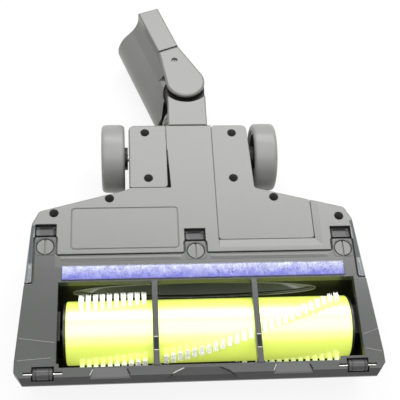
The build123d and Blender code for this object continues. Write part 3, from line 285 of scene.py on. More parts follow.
# The pile's dark root colour is painted shade; pale_pile's fibres paint a highlight along the rear edge.
lilac_pile = plastic("lilac_pile", (0.82, 0.87, 1.0), 0.85, grain=0.5, depth=0.03, edge=0, drift=0.2,
                     patch=5.0, specular=0.2, root=(0.20, 0.21, 0.66), sheen=0.6)
pale_pile = plastic("pale_pile", (0.84, 0.86, 0.96), 0.85, grain=0.5, depth=0.0, edge=0, patch=5.0, specular=0.2,
                    root=(0.5, 0.52, 0.8), sheen=0.6)
print("plastics", [m.name for m in bpy.data.materials if m.name.endswith("plastic")])

# %% [markdown]
# ## Painted shade and highlight
# One solid can hold more than one colour. The inside of the brush chamber and the recess
# round the swivel are painted nearly black as shade, the front face of the lip is painted
# darker than the rest of the guard as shade, and the guard's rear band is painted paler
# as a highlight. A second material would need the solid to be cut, so each zone is a box
# in Object coordinates instead, and a mask that is 1 inside the box mixes the painted
# colour in. The painted colour stays on the part from every side.

# %% Painted shade and highlight zones
CHAMBER_LOW, CHAMBER_HIGH = (-112.3, -74.4, 0.0), (127.5, -2.2, 63.8)
RECESS_LOW, RECESS_HIGH = (-40.0, 160.0, 50.0), (40.0, 230.0, 67.4)
LIP_LOW, LIP_HIGH = (-150.0, -90.0, 0.0), (150.0, -81.4, 80.0)
BAND_LOW, BAND_HIGH = (-112.0, 8.6, 55.0), (119.0, 40.0, 80.0)
LIP_PAINTED_SHADE, BAND_PAINTED_HIGHLIGHT, DULL = (0.024, 0.025, 0.024), (0.092, 0.095, 0.090), 0.2


def paint_light_in_box(material, low, high, colour, specular=None):
    """Paint shade or a highlight onto a plastic inside a box in millimetres: each axis gives 1 between its
    two ends, the three are multiplied, and the product mixes the painted colour in. It can change how
    strongly the plastic mirrors there as well."""
    nodes, links = material.node_tree.nodes, material.node_tree.links
    shader = next(n for n in nodes if n.type == "BSDF_PRINCIPLED")
    base = shader.inputs["Base Color"]
    before = base.links[0].from_socket
    split = nodes.new("ShaderNodeSeparateXYZ")
    links.new(next(n for n in nodes if n.type == "TEX_COORD").outputs["Object"], split.inputs[0])
    mask = None
    for axis in range(3):
        inside = nodes.new("ShaderNodeMath")
        inside.operation = "COMPARE"
        inside.inputs[1].default_value = (low[axis] + high[axis]) / 2.0 * MM
        inside.inputs[2].default_value = (high[axis] - low[axis]) / 2.0 * MM
        links.new(split.outputs[axis], inside.inputs[0])
        if mask:
            both = nodes.new("ShaderNodeMath")
            both.operation = "MULTIPLY"
            links.new(mask, both.inputs[0])
            links.new(inside.outputs[0], both.inputs[1])
            mask = both.outputs[0]
        else:
            mask = inside.outputs[0]
    zone = nodes.new("ShaderNodeMix")
    zone.data_type = "RGBA"
    zone.inputs["B"].default_value = (*colour, 1.0)
    links.new(mask, zone.inputs["Factor"])
    links.new(before, zone.inputs["A"])
    links.new(zone.outputs["Result"], base)
    if specular is not None:
        dull = nodes.new("ShaderNodeMapRange")
        dull.inputs["To Min"].default_value = shader.inputs["Specular IOR Level"].default_value
        dull.inputs["To Max"].default_value = specular
        links.new(mask, dull.inputs["Value"])
        links.new(dull.outputs[0], shader.inputs["Specular IOR Level"])


# Painted shade in the chamber and the swivel recess, painted shade on the lip's front face, and a painted highlight
# on the guard's rear band.
paint_light_in_box(base_plastic, CHAMBER_LOW, CHAMBER_HIGH, PAINTED_SHADE_BLACK, DULL)
paint_light_in_box(neck_plastic, RECESS_LOW, RECESS_HIGH, PAINTED_SHADE_BLACK, DULL)
paint_light_in_box(guard_plastic, LIP_LOW, LIP_HIGH, LIP_PAINTED_SHADE)
paint_light_in_box(guard_plastic, BAND_LOW, BAND_HIGH, BAND_PAINTED_HIGHLIGHT)
print("recoloured", base_plastic.name, neck_plastic.name, guard_plastic.name)

# %% [markdown]
# ## Metals, rubber and the solids
# A turned part shows fine lines round its axis, so its noise is drawn out across them.
# The belt and the hose take the plastic recipe with rougher numbers. When all finishes
# are made, each solid is given its own by name.

# %% Metals and rubber
def turned_metal(name, colour, roughness, line=0.25):
    """Steel or brass off a lathe: bands of line millimetres along X roughen and lighten it a little."""
    material, tree = new_material(name)
    nodes, links = tree.nodes, tree.links
    place = nodes.new("ShaderNodeTexCoord")
    stretch = nodes.new("ShaderNodeMapping")
    stretch.inputs["Scale"].default_value = (1.0, 0.05, 0.05)
    links.new(place.outputs["Object"], stretch.inputs["Vector"])
    lines = nodes.new("ShaderNodeTexNoise")
    lines.inputs["Scale"].default_value = 1.0 / (line * MM)
    links.new(stretch.outputs[0], lines.inputs["Vector"])
    shader = nodes.new("ShaderNodeBsdfPrincipled")
    shader.inputs["Metallic"].default_value = 1.0
    tint = nodes.new("ShaderNodeMix")
    tint.data_type = "RGBA"
    tint.inputs["A"].default_value = (*[c * 0.85 for c in colour], 1.0)
    tint.inputs["B"].default_value = (*[min(c * 1.1, 1.0) for c in colour], 1.0)
    links.new(lines.outputs["Fac"], tint.inputs["Factor"])
    links.new(tint.outputs["Result"], shader.inputs["Base Color"])
    rough = nodes.new("ShaderNodeMapRange")
    rough.inputs["To Min"].default_value = roughness * 0.7
    rough.inputs["To Max"].default_value = roughness * 1.3
    links.new(lines.outputs["Fac"], rough.inputs["Value"])
    links.new(rough.outputs[0], shader.inputs["Roughness"])
    links.new(shader.outputs[0], nodes["Material Output"].inputs["Surface"])
    return material


bright_steel = turned_metal("bright_steel", (0.78, 0.78, 0.77), 0.25)
screw_steel = turned_metal("screw_steel", (0.16, 0.16, 0.16), 0.4)
motor_steel = turned_metal("motor_steel", (0.45, 0.45, 0.46), 0.35, line=1.2)
contact_brass = turned_metal("contact_brass", (0.75, 0.55, 0.22), 0.25)
belt_rubber = plastic("belt_rubber", (0.02, 0.02, 0.02), 0.7, grain=0.6, depth=0.05, edge=0.3, specular=0.3)
# Its dark root colour paints shade into the valleys between ribs and onto the lining.
hose_rubber = plastic("hose_rubber", (0.45, 0.42, 0.38), 0.35, grain=0.6, depth=0.02, edge=0,
                      root=(0.10, 0.09, 0.08))
print("metals and rubbers", [m.name for m in (bright_steel, screw_steel, motor_steel, contact_brass,
                                              belt_rubber, hose_rubber)])

# %% Carry the solids over
FINISH = {
    "base_plastic": ["base_housing"],
    "neck_plastic": ["neck"],
    "sole_plastic": ["top_cover", "axle_cover", "rear_cover", "wand_connector", "swivel_lid"],
    "guard_plastic": ["brush_guard"],
    "lock_plastic": ["guard_lock_left", "guard_lock_centre", "guard_lock_right"],
    "inner_plastic": ["roll_cap_left", "roll_cap_right", "bearing_block_left", "bearing_block_right", "roll_pulley",
                      "motor_bracket", "socket_sleeve", "contact_block"],
    "duct_plastic": ["suction_duct"],
    "hub_plastic": ["wheel_hub_left", "wheel_hub_right"],
    "roller_plastic": ["front_roller_left", "front_roller_right"],
    "wheel_plastic": ["wheel_tyre_left", "wheel_tyre_right"],
    "drum_plastic": ["brush_drum"],
    "bristle_fibre": ["bristle_row_a", "bristle_row_b", "bristle_row_c"],
    "lilac_pile": ["lint_strip"],
    "bright_steel": ["front_roller_pin_left", "front_roller_pin_right", "wheel_axle_left", "wheel_axle_right",
                     "motor_pulley", "swivel_pin_upper", "swivel_pin_lower"],
    "screw_steel": ["body_screws", "lid_screw"],
    "motor_steel": ["brush_motor"],
    "contact_brass": ["contact_pins"],
    "belt_rubber": ["drive_belt"],
    "hose_rubber": ["flex_hose"],
}
for finish, nodes in FINISH.items():
    for node in nodes:
        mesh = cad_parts[node].data
        mesh.materials.clear()
        mesh.materials.append(bpy.data.materials[finish])
print("finished solids", sum(len(n) for n in FINISH.values()))

# %% [markdown]
# ## Tools for new surfaces
# A new piece is a grid of points worked out with numpy, with quads between neighbours.
# One function turns such a grid into a mesh that sits at the origin and moves with a
# body of the head, so each later step only has to give a formula.

# %% Grid to mesh
def grid_quads(rows, columns, wrap_rows=False, wrap_columns=False):
    """Quads between neighbours of a grid of points numbered row by row, closed where wrapped."""
    i, j = np.meshgrid(np.arange(rows if wrap_rows else rows - 1),
                       np.arange(columns if wrap_columns else columns - 1), indexing="ij")
    next_i, next_j = (i + 1) % rows, (j + 1) % columns
    return np.stack([i * columns + j, i * columns + next_j, next_i * columns + next_j, next_i * columns + j],
                    axis=-1).reshape(-1, 4)


def add_piece(name, points, faces, material, body, stands_for=(), sharp=40.0, merge=True, grow=None):
    """A mesh of points in millimetres and faces, smooth up to sharp degrees, that rides on a body.
    Where grow is given, each point keeps that number from 0 to 1 for its material."""
    mesh = bpy.data.meshes.new(name)
    points = np.asarray(points, float).reshape(-1, 3) * MM
    mesh.from_pydata(points.tolist(), [], faces if isinstance(faces, list) else faces.tolist())
    if grow is not None:
        mesh.attributes.new("grow", "FLOAT", "POINT").data.foreach_set("value", np.asarray(grow, np.float32).ravel())
    if merge:
        work = bmesh.new()
        work.from_mesh(mesh)
        bmesh.ops.remove_doubles(work, verts=work.verts, dist=1e-7)
        bmesh.ops.recalc_face_normals(work, faces=work.faces)
        work.to_mesh(mesh)
        work.free()
    mesh.shade_smooth()
    mesh.set_sharp_from_angle(angle=math.radians(sharp))
    mesh.materials.append(material)
    piece = bpy.data.objects.new(name, mesh)
    bpy.context.scene.collection.objects.link(piece)
    if body:
        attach(piece, body)
    if stands_for:
        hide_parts(*stands_for)
    print(name, "faces", len(mesh.polygons))
    return piece


def lathe_x(profile, y, z, steps=96):
    """Rings about an axis along X. Each profile point (x, r) becomes a circle of radius r at x,
    and the profile is a closed loop, so the surface is a closed ring."""
    profile = np.asarray(profile, float)
    angle = np.linspace(0.0, 2.0 * np.pi, steps, endpoint=False)
    x = np.broadcast_to(profile[:, :1], (len(profile), steps))
    rise = profile[:, 1:] * np.sin(angle) + z
    reach = profile[:, 1:] * np.cos(angle) + y
    return np.stack([x, reach, rise], axis=-1), grid_quads(len(profile), steps, True, True)


def arc(centre, radius, start, end, count=6):
    """Points on a circle in a profile, from one angle to another in degrees."""
    t = np.radians(np.linspace(start, end, count))
    return np.column_stack([centre[0] + radius * np.cos(t), centre[1] + radius * np.sin(t)])


# %% [markdown]
# ## Tyres and rollers
# The rear wheels carry smooth tyres with rounded shoulders and a shallow step where the
# tread meets the flank. A lathe profile says all of that at once. The small front
# rollers are turned the same way, with a groove near each end.

# %% Tyres
WHEEL_Y, WHEEL_Z, WHEEL_X = 127.5, 40.0, 66.0
TYRE_HALF, TYRE_R, TYRE_BORE, SHOULDER = 10.0, 30.0, 24.0, 3.2

flank = np.vstack([
    [(-TYRE_HALF + 0.8, TYRE_BORE), (-TYRE_HALF + 0.8, TYRE_BORE + 1.2), (-TYRE_HALF, TYRE_BORE + 2.0)],
    arc((-TYRE_HALF + SHOULDER, TYRE_R - SHOULDER - 0.3), SHOULDER, 180.0, 96.0, 8),
])
tread_x = np.linspace(-TYRE_HALF + SHOULDER + 0.6, TYRE_HALF - SHOULDER - 0.6, 9)
tread = np.column_stack([tread_x, TYRE_R - 0.3 * (tread_x / TYRE_HALF) ** 2])
tyre_profile = np.vstack([flank, tread, flank[::-1] * (-1, 1)])
for side, x in (("left", -WHEEL_X), ("right", WHEEL_X)):
    points, faces = lathe_x(tyre_profile + (x, 0.0), WHEEL_Y, WHEEL_Z, 128)
    add_piece(f"tyre_{side}", points, faces, wheel_plastic, f"wheel_{side}", [f"wheel_tyre_{side}"])

# %% Front rollers
ROLLER_X, ROLLER_Y, ROLLER_Z = 118.5, -78.0, 65.3
ROLLER_HALF, ROLLER_R, ROLLER_BORE, GROOVE = 7.7, 4.5, 1.05, 0.45

half_roller = np.array([(-ROLLER_HALF, ROLLER_BORE), (-ROLLER_HALF, 3.1), (-7.5, 3.5), (-7.1, 4.1), (-6.6, 4.4),
                        (-5.4, ROLLER_R), (-5.1, ROLLER_R - GROOVE), (-4.6, ROLLER_R - GROOVE), (-4.3, ROLLER_R),
                        (-2.0, ROLLER_R)])
roller_profile = np.vstack([half_roller, half_roller[::-1] * (-1, 1)])
for side, x in (("left", -ROLLER_X), ("right", ROLLER_X)):
    points, faces = lathe_x(roller_profile + (x, 0.0), ROLLER_Y, ROLLER_Z, 48)
    add_piece(f"roller_{side}", points, faces, roller_plastic, f"roller_{side}", [f"front_roller_{side}"])

# %% [markdown]
# ## The brush roll
# The drum is a plain moulded tube with rounded ends. Each tuft on it is a bundle of
# stiff filaments in one hole, and the bundle fans out round the drum. A bundle of thin
# three-sided strands round a solid core looks right from near and costs few faces. The
# strands know how far along they are, so that the finish can turn from a painted lime
# reflection of the drum at the root to white at the tip. Two rows wind along the whole
# drum. The third is short, ends at the first bar and leans well back.

# %% Drum
ROLL_Y, ROLL_Z = -36.0, 40.0
DRUM_LEFT, DRUM_RIGHT, DRUM_R, DRUM_BORE = -103.0, 120.0, 25.0, 22.6

drum_end = np.vstack([[(DRUM_LEFT, DRUM_BORE)], arc((DRUM_LEFT + 1.0, DRUM_R - 1.0), 1.0, 180.0, 90.0, 6)])
middle = (DRUM_LEFT + DRUM_RIGHT) / 2.0
drum_run = np.column_stack([np.linspace(DRUM_LEFT + 4.0, DRUM_RIGHT - 4.0, 24), np.full(24, DRUM_R)])
drum_profile = np.vstack([drum_end, drum_run, drum_end[::-1] * (-1, 1) + (2.0 * middle, 0.0)])
points, faces = lathe_x(drum_profile, ROLL_Y, ROLL_Z, 144)
add_piece("drum", points, faces, drum_plastic, "brush_roll", ["brush_drum"])

# %% Tuft places
ROOT_R, TIP_R = 24.4, 31.3
TUFT_PITCH, TUFT_FIRST, TUFT_COUNT = 5.42, -91.0, 38
BARS, BAR_CLEAR = np.array([-34.0, 44.7]), 5.2
TWIST, BEND, TWIST_X = 0.74, 0.0016, 45.0


def tuft_places(start, end):
    """Place along X and turn about the roll of each tuft: the turn falls by TWIST degrees a
    millimetre from start at TWIST_X, and a little by the square of that distance, so the row
    winds tighter to the right. Places under a bar, and past the row's end, are left out."""
    x = TUFT_FIRST + TUFT_PITCH * np.arange(TUFT_COUNT)
    x = x[(np.abs(x[:, None] - BARS).min(axis=1) > BAR_CLEAR) & (x < end)]
    reach = x - TWIST_X
    return x, np.radians(start - TWIST * reach - BEND * reach**2)


def round_roll(x, across, reach, turn, lean):
    """A point on a tuft: reach from the roll's axis along the tuft and across it, after the turn.
    The tuft leans back, so the turn falls by lean degrees from root to tip."""
    turn = turn - np.radians(lean) * (reach - ROOT_R) / (TIP_R - ROOT_R)
    y = ROLL_Y - reach * np.sin(turn) + across * np.cos(turn)
    z = ROLL_Z + reach * np.cos(turn) + across * np.sin(turn)
    return np.stack(np.broadcast_arrays(x, y, z), axis=-1)


print("tufts in a long row", len(tuft_places(0.0, DRUM_RIGHT)[0]))

# %% Bristles
STRANDS, STRAND_R, STRAY, UNEVEN = 84, np.array([0.20, 0.18, 0.12]), (0.10, 0.22), 0.9
ROOT_HALF, TIP_HALF = np.array([1.45, 1.45]), np.array([2.0, 4.7])
CORE = np.array([(-1, -1), (1, -1), (1, 1), (-1, 1)], float)
CORE_ROOT, CORE_TIP, CORE_SHORT, CORE_GROW = (1.3, 1.3), (1.7, 3.9), 1.1, 0.8
ROWS = {  # turn at TWIST_X, end along X, and lean
    "a": (25.0, DRUM_RIGHT, 2.0),
    "b": (145.0, DRUM_RIGHT, 2.0),
    "c": (268.0, BARS[0], 20.0),
}


def bristle_row(row, start, end, lean):
    """Each strand runs from a root spot to the same spot in the wider tip, bowed outwards by the
    square of its height, and its radius thins by STRAND_R. The core is a four-sided wedge inside."""
    x, turn = tuft_places(start, end)
    tufts = len(x)
    spot = rng.uniform(-1.0, 1.0, (tufts, STRANDS, 2))
    stray = rng.normal(0.0, STRAY, (tufts, STRANDS, 2))
    top = TIP_R - UNEVEN * rng.random((tufts, STRANDS)) ** 2
    height = np.array([0.0, 0.55, 1.0])
    wide = ROOT_HALF + (TIP_HALF - ROOT_HALF) * (0.8 * height + 0.2 * height**2)[:, None]
    centre = spot[:, :, None, :] * wide + stray[:, :, None, :] * height[:, None]
    reach = ROOT_R + (top[:, :, None] - ROOT_R) * height
    side = np.radians([90.0, 210.0, 330.0])
    thick = STRAND_R[:, None]
    along = centre[..., 0, None] + thick * np.cos(side)
    across = centre[..., 1, None] + thick * np.sin(side)
    strands = round_roll(x[:, None, None, None] + along, across, reach[..., None],
                         turn[:, None, None, None], lean)
    base = 9 * np.arange(tufts * STRANDS)[:, None, None]
    ring = np.array([[0, 1, 4, 3], [1, 2, 5, 4], [2, 0, 3, 5], [3, 4, 7, 6], [4, 5, 8, 7], [5, 3, 6, 8]])
    faces = (base + ring).reshape(-1, 4).tolist() + (base[:, 0] + np.array([6, 7, 8])).tolist()
    corner = np.stack([CORE * CORE_ROOT, CORE * CORE_TIP])
    core_reach = np.array([ROOT_R, TIP_R - CORE_SHORT])[:, None]
    core = round_roll(x[:, None, None] + corner[..., 0], corner[..., 1], core_reach, turn[:, None, None], lean)
    first = strands.size // 3 + 8 * np.arange(tufts)[:, None, None]
    wedge = np.array([[0, 1, 5, 4], [1, 2, 6, 5], [2, 3, 7, 6], [3, 0, 4, 7], [4, 5, 6, 7], [3, 2, 1, 0]])
    faces += (first + wedge).reshape(-1, 4).tolist()
    grow = np.concatenate([np.broadcast_to(height[:, None], strands.shape[:-1]).ravel(),
                           np.broadcast_to(np.array([[0.0], [CORE_GROW]]), core.shape[:-1]).ravel()])
    points = np.vstack([strands.reshape(-1, 3), core.reshape(-1, 3)])
    return add_piece(f"bristles_row_{row}", points, faces, bristle_fibre, "brush_roll",
                     [f"bristle_row_{row}"], sharp=60.0, merge=False, grow=grow)


for row, setting in ROWS.items():
    bristle_row(row, *setting)

# %% [markdown]
# ## The lint strip
# A band of short lilac pile crosses the guard behind the window. It is a low slab with
# an uneven top and thousands of short fibres on it. Fibres near an edge lean outwards,
# which gives the soft, ragged border. The pile is painted darker and bluer in front as
# shade, and paler along its rear edge as a painted highlight, with a fringe of pale fibres
# there, so the number grow rises with Y.

# %% Pile slab
STRIP_X, STRIP_Y, STRIP_FOOT, STRIP_TOP = (-106.0, 118.0), (-2.6, 8.4), 66.7, 69.25
STRIP_MID, STRIP_HALF = (6.0, 2.9), (112.0, 5.5)


def waves(x, y):
    """Height noise: a sum of six sine waves of 2 to 12 mm in seeded directions, from about -1 to 1."""
    way = rng.uniform(0.0, np.pi, 6)
    rate = 2.0 * np.pi / np.array([12.0, 8.0, 5.5, 4.0, 3.0, 2.1])
    phase = rng.uniform(0.0, 2.0 * np.pi, 6)
    wave = np.sin((x[..., None] * np.cos(way) + y[..., None] * np.sin(way)) * rate + phase)
    return (wave * np.array([0.3, 0.25, 0.2, 0.2, 0.15, 0.15])).sum(axis=-1)


u = np.concatenate([[0.0, 0.0], np.linspace(0.0, 1.0, 300), [1.0, 1.0]])
v = np.concatenate([[0.0, 0.0], np.linspace(0.0, 1.0, 22), [1.0, 1.0]])
skirt_u = np.concatenate([[1.0, 0.4], np.zeros(300), [0.4, 1.0]])
skirt_v = np.concatenate([[1.0, 0.4], np.zeros(22), [0.4, 1.0]])
grid_x, grid_y = np.meshgrid(STRIP_X[0] + u * (STRIP_X[1] - STRIP_X[0]),
                             STRIP_Y[0] + v * (STRIP_Y[1] - STRIP_Y[0]), indexing="ij")
drop = np.maximum(skirt_u[:, None], skirt_v[None, :])
rough_edge = waves(grid_x * 1.7, grid_y * 0.3)
pull = np.where(drop > 0.0, 0.45, 0.0)
off_y = grid_y - STRIP_MID[1]
grid_y = grid_y + np.sign(off_y) * (0.25 * rough_edge * (np.abs(off_y) / STRIP_HALF[1]) ** 2 - pull * 0.3)
grid_z = STRIP_TOP + 0.22 * waves(grid_x, grid_y) - drop * (STRIP_TOP - STRIP_FOOT)
share = (grid_y - STRIP_Y[0]) / (STRIP_Y[1] - STRIP_Y[0])
# painted_light_tone runs from painted shade in front to a painted highlight at the rear edge.
painted_light_tone = np.clip(0.06 + 0.85 * share**1.2 + 0.22 * waves(grid_x * 0.8, grid_y * 0.8), 0.0, 1.0)
add_piece("pile_slab", np.stack([grid_x, grid_y, grid_z], axis=-1), grid_quads(*grid_x.shape), lilac_pile,
          "head", ["lint_strip"], sharp=80.0, grow=painted_light_tone)

# %% Pile fibres
FIBRE_R = 0.14


def pile_fibres(name, count, y_span, long_span, material):
    """Three-sided spikes on the slab, leaning at random and outwards near an edge. The tip's grow
    rises from front to rear, with some noise, and the root's is 0, so the roots and the front take
    painted shade and the rear tips a painted highlight."""
    root_x = rng.uniform(STRIP_X[0] + 0.2, STRIP_X[1] - 0.2, count)
    root_y = rng.uniform(*y_span, count)
    lean = rng.normal(0.0, 0.45, (count, 2))
    off_x, off_y = root_x - STRIP_MID[0], root_y - STRIP_MID[1]
    lean[:, 0] += 0.9 * (np.abs(off_x) / STRIP_HALF[0]) ** 40 * np.sign(off_x)
    lean[:, 1] += 0.75 * (np.abs(off_y) / STRIP_HALF[1]) ** 4 * np.sign(off_y)
    stand = np.column_stack([lean, np.ones(count)])
    stand *= (rng.uniform(*long_span, count) / np.linalg.norm(stand, axis=1))[:, None]
    foot = np.column_stack([root_x, root_y, np.full(count, STRIP_TOP - 0.25)])
    turn = rng.uniform(0.0, 2.0 * np.pi, count)[:, None] + np.radians([0.0, 120.0, 240.0])
    ring = np.stack([FIBRE_R * np.cos(turn), FIBRE_R * np.sin(turn), np.zeros_like(turn)], axis=-1)
    fibre = np.concatenate([foot[:, None] + ring, (foot + stand)[:, None]], axis=1)
    faces = (4 * np.arange(count)[:, None, None] + np.array([[0, 1, 3], [1, 2, 3], [2, 0, 3]])).reshape(-1, 3)
    share = (root_y - STRIP_Y[0]) / (STRIP_Y[1] - STRIP_Y[0])
    tip = np.clip(0.2 + 0.85 * share**1.2 + rng.normal(0.0, 0.15, count), 0.0, 1.0)
    grow = np.column_stack([np.zeros((count, 3)), tip])
    add_piece(name, fibre, faces, material, "head", sharp=80.0, merge=False, grow=grow)


pile_fibres("pile_fibres", 15000, (-2.5, 8.3), (0.8, 1.5), lilac_pile)
# The pale fringe is a painted highlight along the rear edge.
pile_fibres("pile_fringe", 1500, (7.9, 8.6), (0.8, 1.6), pale_pile)

# %% [markdown]
# ## The hose
# A ribbed hose runs from the duct through the open arm into the tube, and bows out
# between the fork and the swivel. Its route is a smooth NURBS line that five points
# steer. The wall is a ring carried along that line, with a radius that swings once per
# rib. The hose is two pieces, front and rear, which meet inside the arm.

# %% Hose route
TURN = math.radians(21.0)
SWIVEL = np.array([-0.8, 192.5, 0.0])
WAND = np.array([-math.sin(TURN), math.cos(TURN), 0.0])
ACROSS = np.array([math.cos(TURN), math.sin(TURN), 0.0])


def on_wand(reach, height, left=0.0):
    """A point at reach along the wand from the swivel, left of its line, at a height."""
    return SWIVEL + WAND * reach - ACROSS * left + (0.0, 0.0, height)


DUCT_X, DUCT_Z, SEAT_Z, SEAT_LEFT = -3.0, 40.0, 26.5, 6.5
seat = on_wand(34.0, SEAT_Z, SEAT_LEFT)
route = np.array([(DUCT_X, 88.0, DUCT_Z), (DUCT_X, 150.0, DUCT_Z), SWIVEL + (0.0, 0.0, 38.5),
                  seat, on_wand(48.0, SEAT_Z, SEAT_LEFT)])
route_curve = bpy.data.curves.new("hose_route", "CURVE")
route_curve.dimensions = "3D"
route_curve.resolution_u = 40
spline = route_curve.splines.new("NURBS")
spline.points.add(len(route) - 1)
spline.points.foreach_set("co", np.column_stack([route * MM, np.ones(len(route))]).ravel())
spline.order_u = 3
spline.use_endpoint_u = True
route_holder = bpy.data.objects.new("hose_route", route_curve)
route_mesh = bpy.data.meshes.new_from_object(route_holder)
line = np.empty(3 * len(route_mesh.vertices))
route_mesh.vertices.foreach_get("co", line)
line = line.reshape(-1, 3) / MM
bpy.data.objects.remove(route_holder)
bpy.data.curves.remove(route_curve)
bpy.data.meshes.remove(route_mesh)
print("hose route points", len(line), "from", line[0].round(1), "to", line[-1].round(1))

# %% Ribbed wall
HOSE_R, RIB, RIB_PITCH, HOSE_WALL, SIDES = 12.4, 1.4, 4.5, 1.1, 56
SWELL, SWELL_Y, SWELL_REACH, JOIN_Y = 6.0, 161.0, 15.0, 166.0

step = np.concatenate([[0.0], np.cumsum(np.linalg.norm(np.diff(line, axis=0), axis=1))])
at = np.linspace(2.0, step[-1] - 1.0, 420)
path = np.column_stack([np.interp(at, step, line[:, k]) for k in range(3)])
ahead = np.gradient(path, axis=0)
ahead /= np.linalg.norm(ahead, axis=1)[:, None]
side_way = np.cross(ahead, (0.0, 0.0, 1.0))
side_way /= np.linalg.norm(side_way, axis=1)[:, None]
up_way = np.cross(side_way, ahead)
swell = SWELL * np.clip(1.0 - ((path[:, 1] - SWELL_Y) / SWELL_REACH) ** 2, 0.0, 1.0)
ridge = np.sqrt(0.5 + 0.5 * np.cos(2.0 * np.pi * at / RIB_PITCH))
outer = HOSE_R + (RIB + swell) * ridge
turn = np.linspace(0.0, 2.0 * np.pi, SIDES, endpoint=False)
spoke = side_way[:, None] * np.cos(turn)[:, None] + up_way[:, None] * np.sin(turn)[:, None]
skin = path[:, None] + spoke * outer[:, None, None]
lining = path[:, None] + spoke * (HOSE_R - HOSE_WALL)
front_span = ((DUCT_X, 98.0, DUCT_Z), (DUCT_X, 157.0, DUCT_Z))
rear_span = ((-1.0, 176.0, 39.0), seat)
for name, rows, bodies, span in (
        ("hose_front", path[:, 1] <= JOIN_Y, ("head", "neck"), front_span),
        ("hose_rear", path[:, 1] >= JOIN_Y - 0.6, ("neck", "connector"), rear_span)):
    wall = np.concatenate([skin[rows], lining[rows][::-1]])
    # The lining and the valleys between ribs get grow 0, which paints shade there.
    painted_light_tone = np.concatenate([np.broadcast_to(ridge[rows][:, None], skin[rows].shape[:2]),
                           np.zeros(lining[rows].shape[:2])])
    hose = add_piece(name, wall, grid_quads(len(wall), SIDES, True, True), hose_rubber, None,
                     ["flex_hose"] if name == "hose_front" else (), sharp=70.0, merge=False, grow=painted_light_tone)
    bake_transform(hose)

# %% [markdown]
# ## Moulded relief
# The guard carries a raised rail along its rear edge, a frame round each lock and fine
# creases across its front corners, in a paler plastic that paints a highlight along them.
# Each ramp of its lip has a painted highlight along one edge and painted shade along the
# other. A glossy grip pad sits on each flank of the sole in line with a darker band. The
# skid bars have a notch of painted shade between two edges of painted highlight, and round
# inside corners. Painted shade lines a tray behind each lock and the floor of the slot
# beside the fork's cover. All of these are low, so each is a thin skin on the solid: a
# bump across a path, or a plate between outlines.

# %% Rail and lock frames
GUARD_TOP = 68.0


def ridge_along(path, width, height, rows=9, foot=0.4):
    """A rounded bump carried along a path in the plane of the sole. Its height follows the fourth
    root of a half sine across the width, and the bump tapers to nothing at both ends."""
    path = np.asarray(path, float)
    way = np.gradient(path, axis=0)
    way /= np.linalg.norm(way, axis=1)[:, None]
    off = np.column_stack([-way[:, 1], way[:, 0]])
    across = np.linspace(-1.0, 1.0, rows)
    lift = np.cos(across * np.pi / 2.0).clip(0.0) ** 0.25
    taper = np.clip(np.minimum(np.arange(len(path)), np.arange(len(path))[::-1]) / 3.0, 0.0, 1.0) ** 0.5
    flat = path[:, None] + off[:, None] * (across * width / 2.0)[None, :, None]
    z = GUARD_TOP - foot + (height + foot) * lift[None, :] * taper[:, None]
    return np.concatenate([flat, z[..., None]], axis=-1), grid_quads(len(path), rows)


def straight(start, end, count=40):
    """Evenly spaced points on a line in the plane of the sole."""
    t = np.linspace(0.0, 1.0, count)[:, None]
    return np.asarray(start) * (1.0 - t) + np.asarray(end) * t


RAIL_Y, RAIL_WIDTH, RAIL_RISE = 15.6, 5.4, 0.45
for name, span in (("left", (-110.0, -9.4)), ("right", (9.4, 110.0))):
    points, faces = ridge_along(straight((span[0], RAIL_Y), (span[1], RAIL_Y)), RAIL_WIDTH, RAIL_RISE, rows=13)
    add_piece(f"guard_rail_{name}", points, faces, guard_plastic, "head")


def plate_between(inner, outer, low, high, round_by=0.35):
    """A ring plate between two closed outlines with the same number of points: up the inner wall,
    over the top with rounded shoulders, and down the outer wall."""
    share = np.array([0.0, 0.0, 0.12, 0.5, 0.88, 1.0, 1.0])
    z = np.array([low, high - round_by, high, high, high, high - round_by, low])
    flat = inner[None] * (1.0 - share)[:, None, None] + outer[None] * share[:, None, None]
    return (np.concatenate([flat, np.broadcast_to(z[:, None, None], (*flat.shape[:2], 1))], axis=-1),
            grid_quads(len(share), inner.shape[0], False, True))


def rounded_box(half_x, half_y, corner, count=96):
    """A closed outline round the origin: a superellipse, whose power is set by the corner."""
    t = np.linspace(0.0, 2.0 * np.pi, count, endpoint=False)
    power = 2.0 / corner
    return np.column_stack([half_x * np.sign(np.cos(t)) * np.abs(np.cos(t)) ** power,
                            half_y * np.sign(np.sin(t)) * np.abs(np.sin(t)) ** power])


LOCKS = {"left": (-120.0, 27.0), "centre": (0.0, 21.0), "right": (120.0, 21.0)}
LOCK_R, FRAME_HALF, FRAME_SHIFT, FRAME_DEEP, FRAME_RISE = 7.3, 8.1, 0.4, 0.4, 0.25
circle = rounded_box(LOCK_R, LOCK_R, 2.0)
square = rounded_box(FRAME_HALF, FRAME_HALF, 9.0) + (0.0, FRAME_SHIFT)
for name, place in LOCKS.items():
    points, faces = plate_between(circle + place, square + place, GUARD_TOP - FRAME_DEEP, GUARD_TOP + FRAME_RISE)
    add_piece(f"lock_frame_{name}", points, faces, guard_plastic, "head")

# %% Creases
CREASES = {"left": ((-138.2, -50.0), (-109.6, -54.3)), "left_low": ((-138.8, -68.0), (-112.0, -66.2)),
           "right": ((125.6, -53.9), (138.6, -49.5)), "right_low": ((125.6, -65.0), (139.2, -68.2))}
CREASE_WIDTH, CREASE_RISE = 1.0, 0.3
# The creases take the paler lock plastic, a painted highlight along each crease.
for name, (start, end) in CREASES.items():
    points, faces = ridge_along(straight(start, end), CREASE_WIDTH, CREASE_RISE, rows=7)
    add_piece(f"guard_crease_{name}", points, faces, lock_plastic, "head")

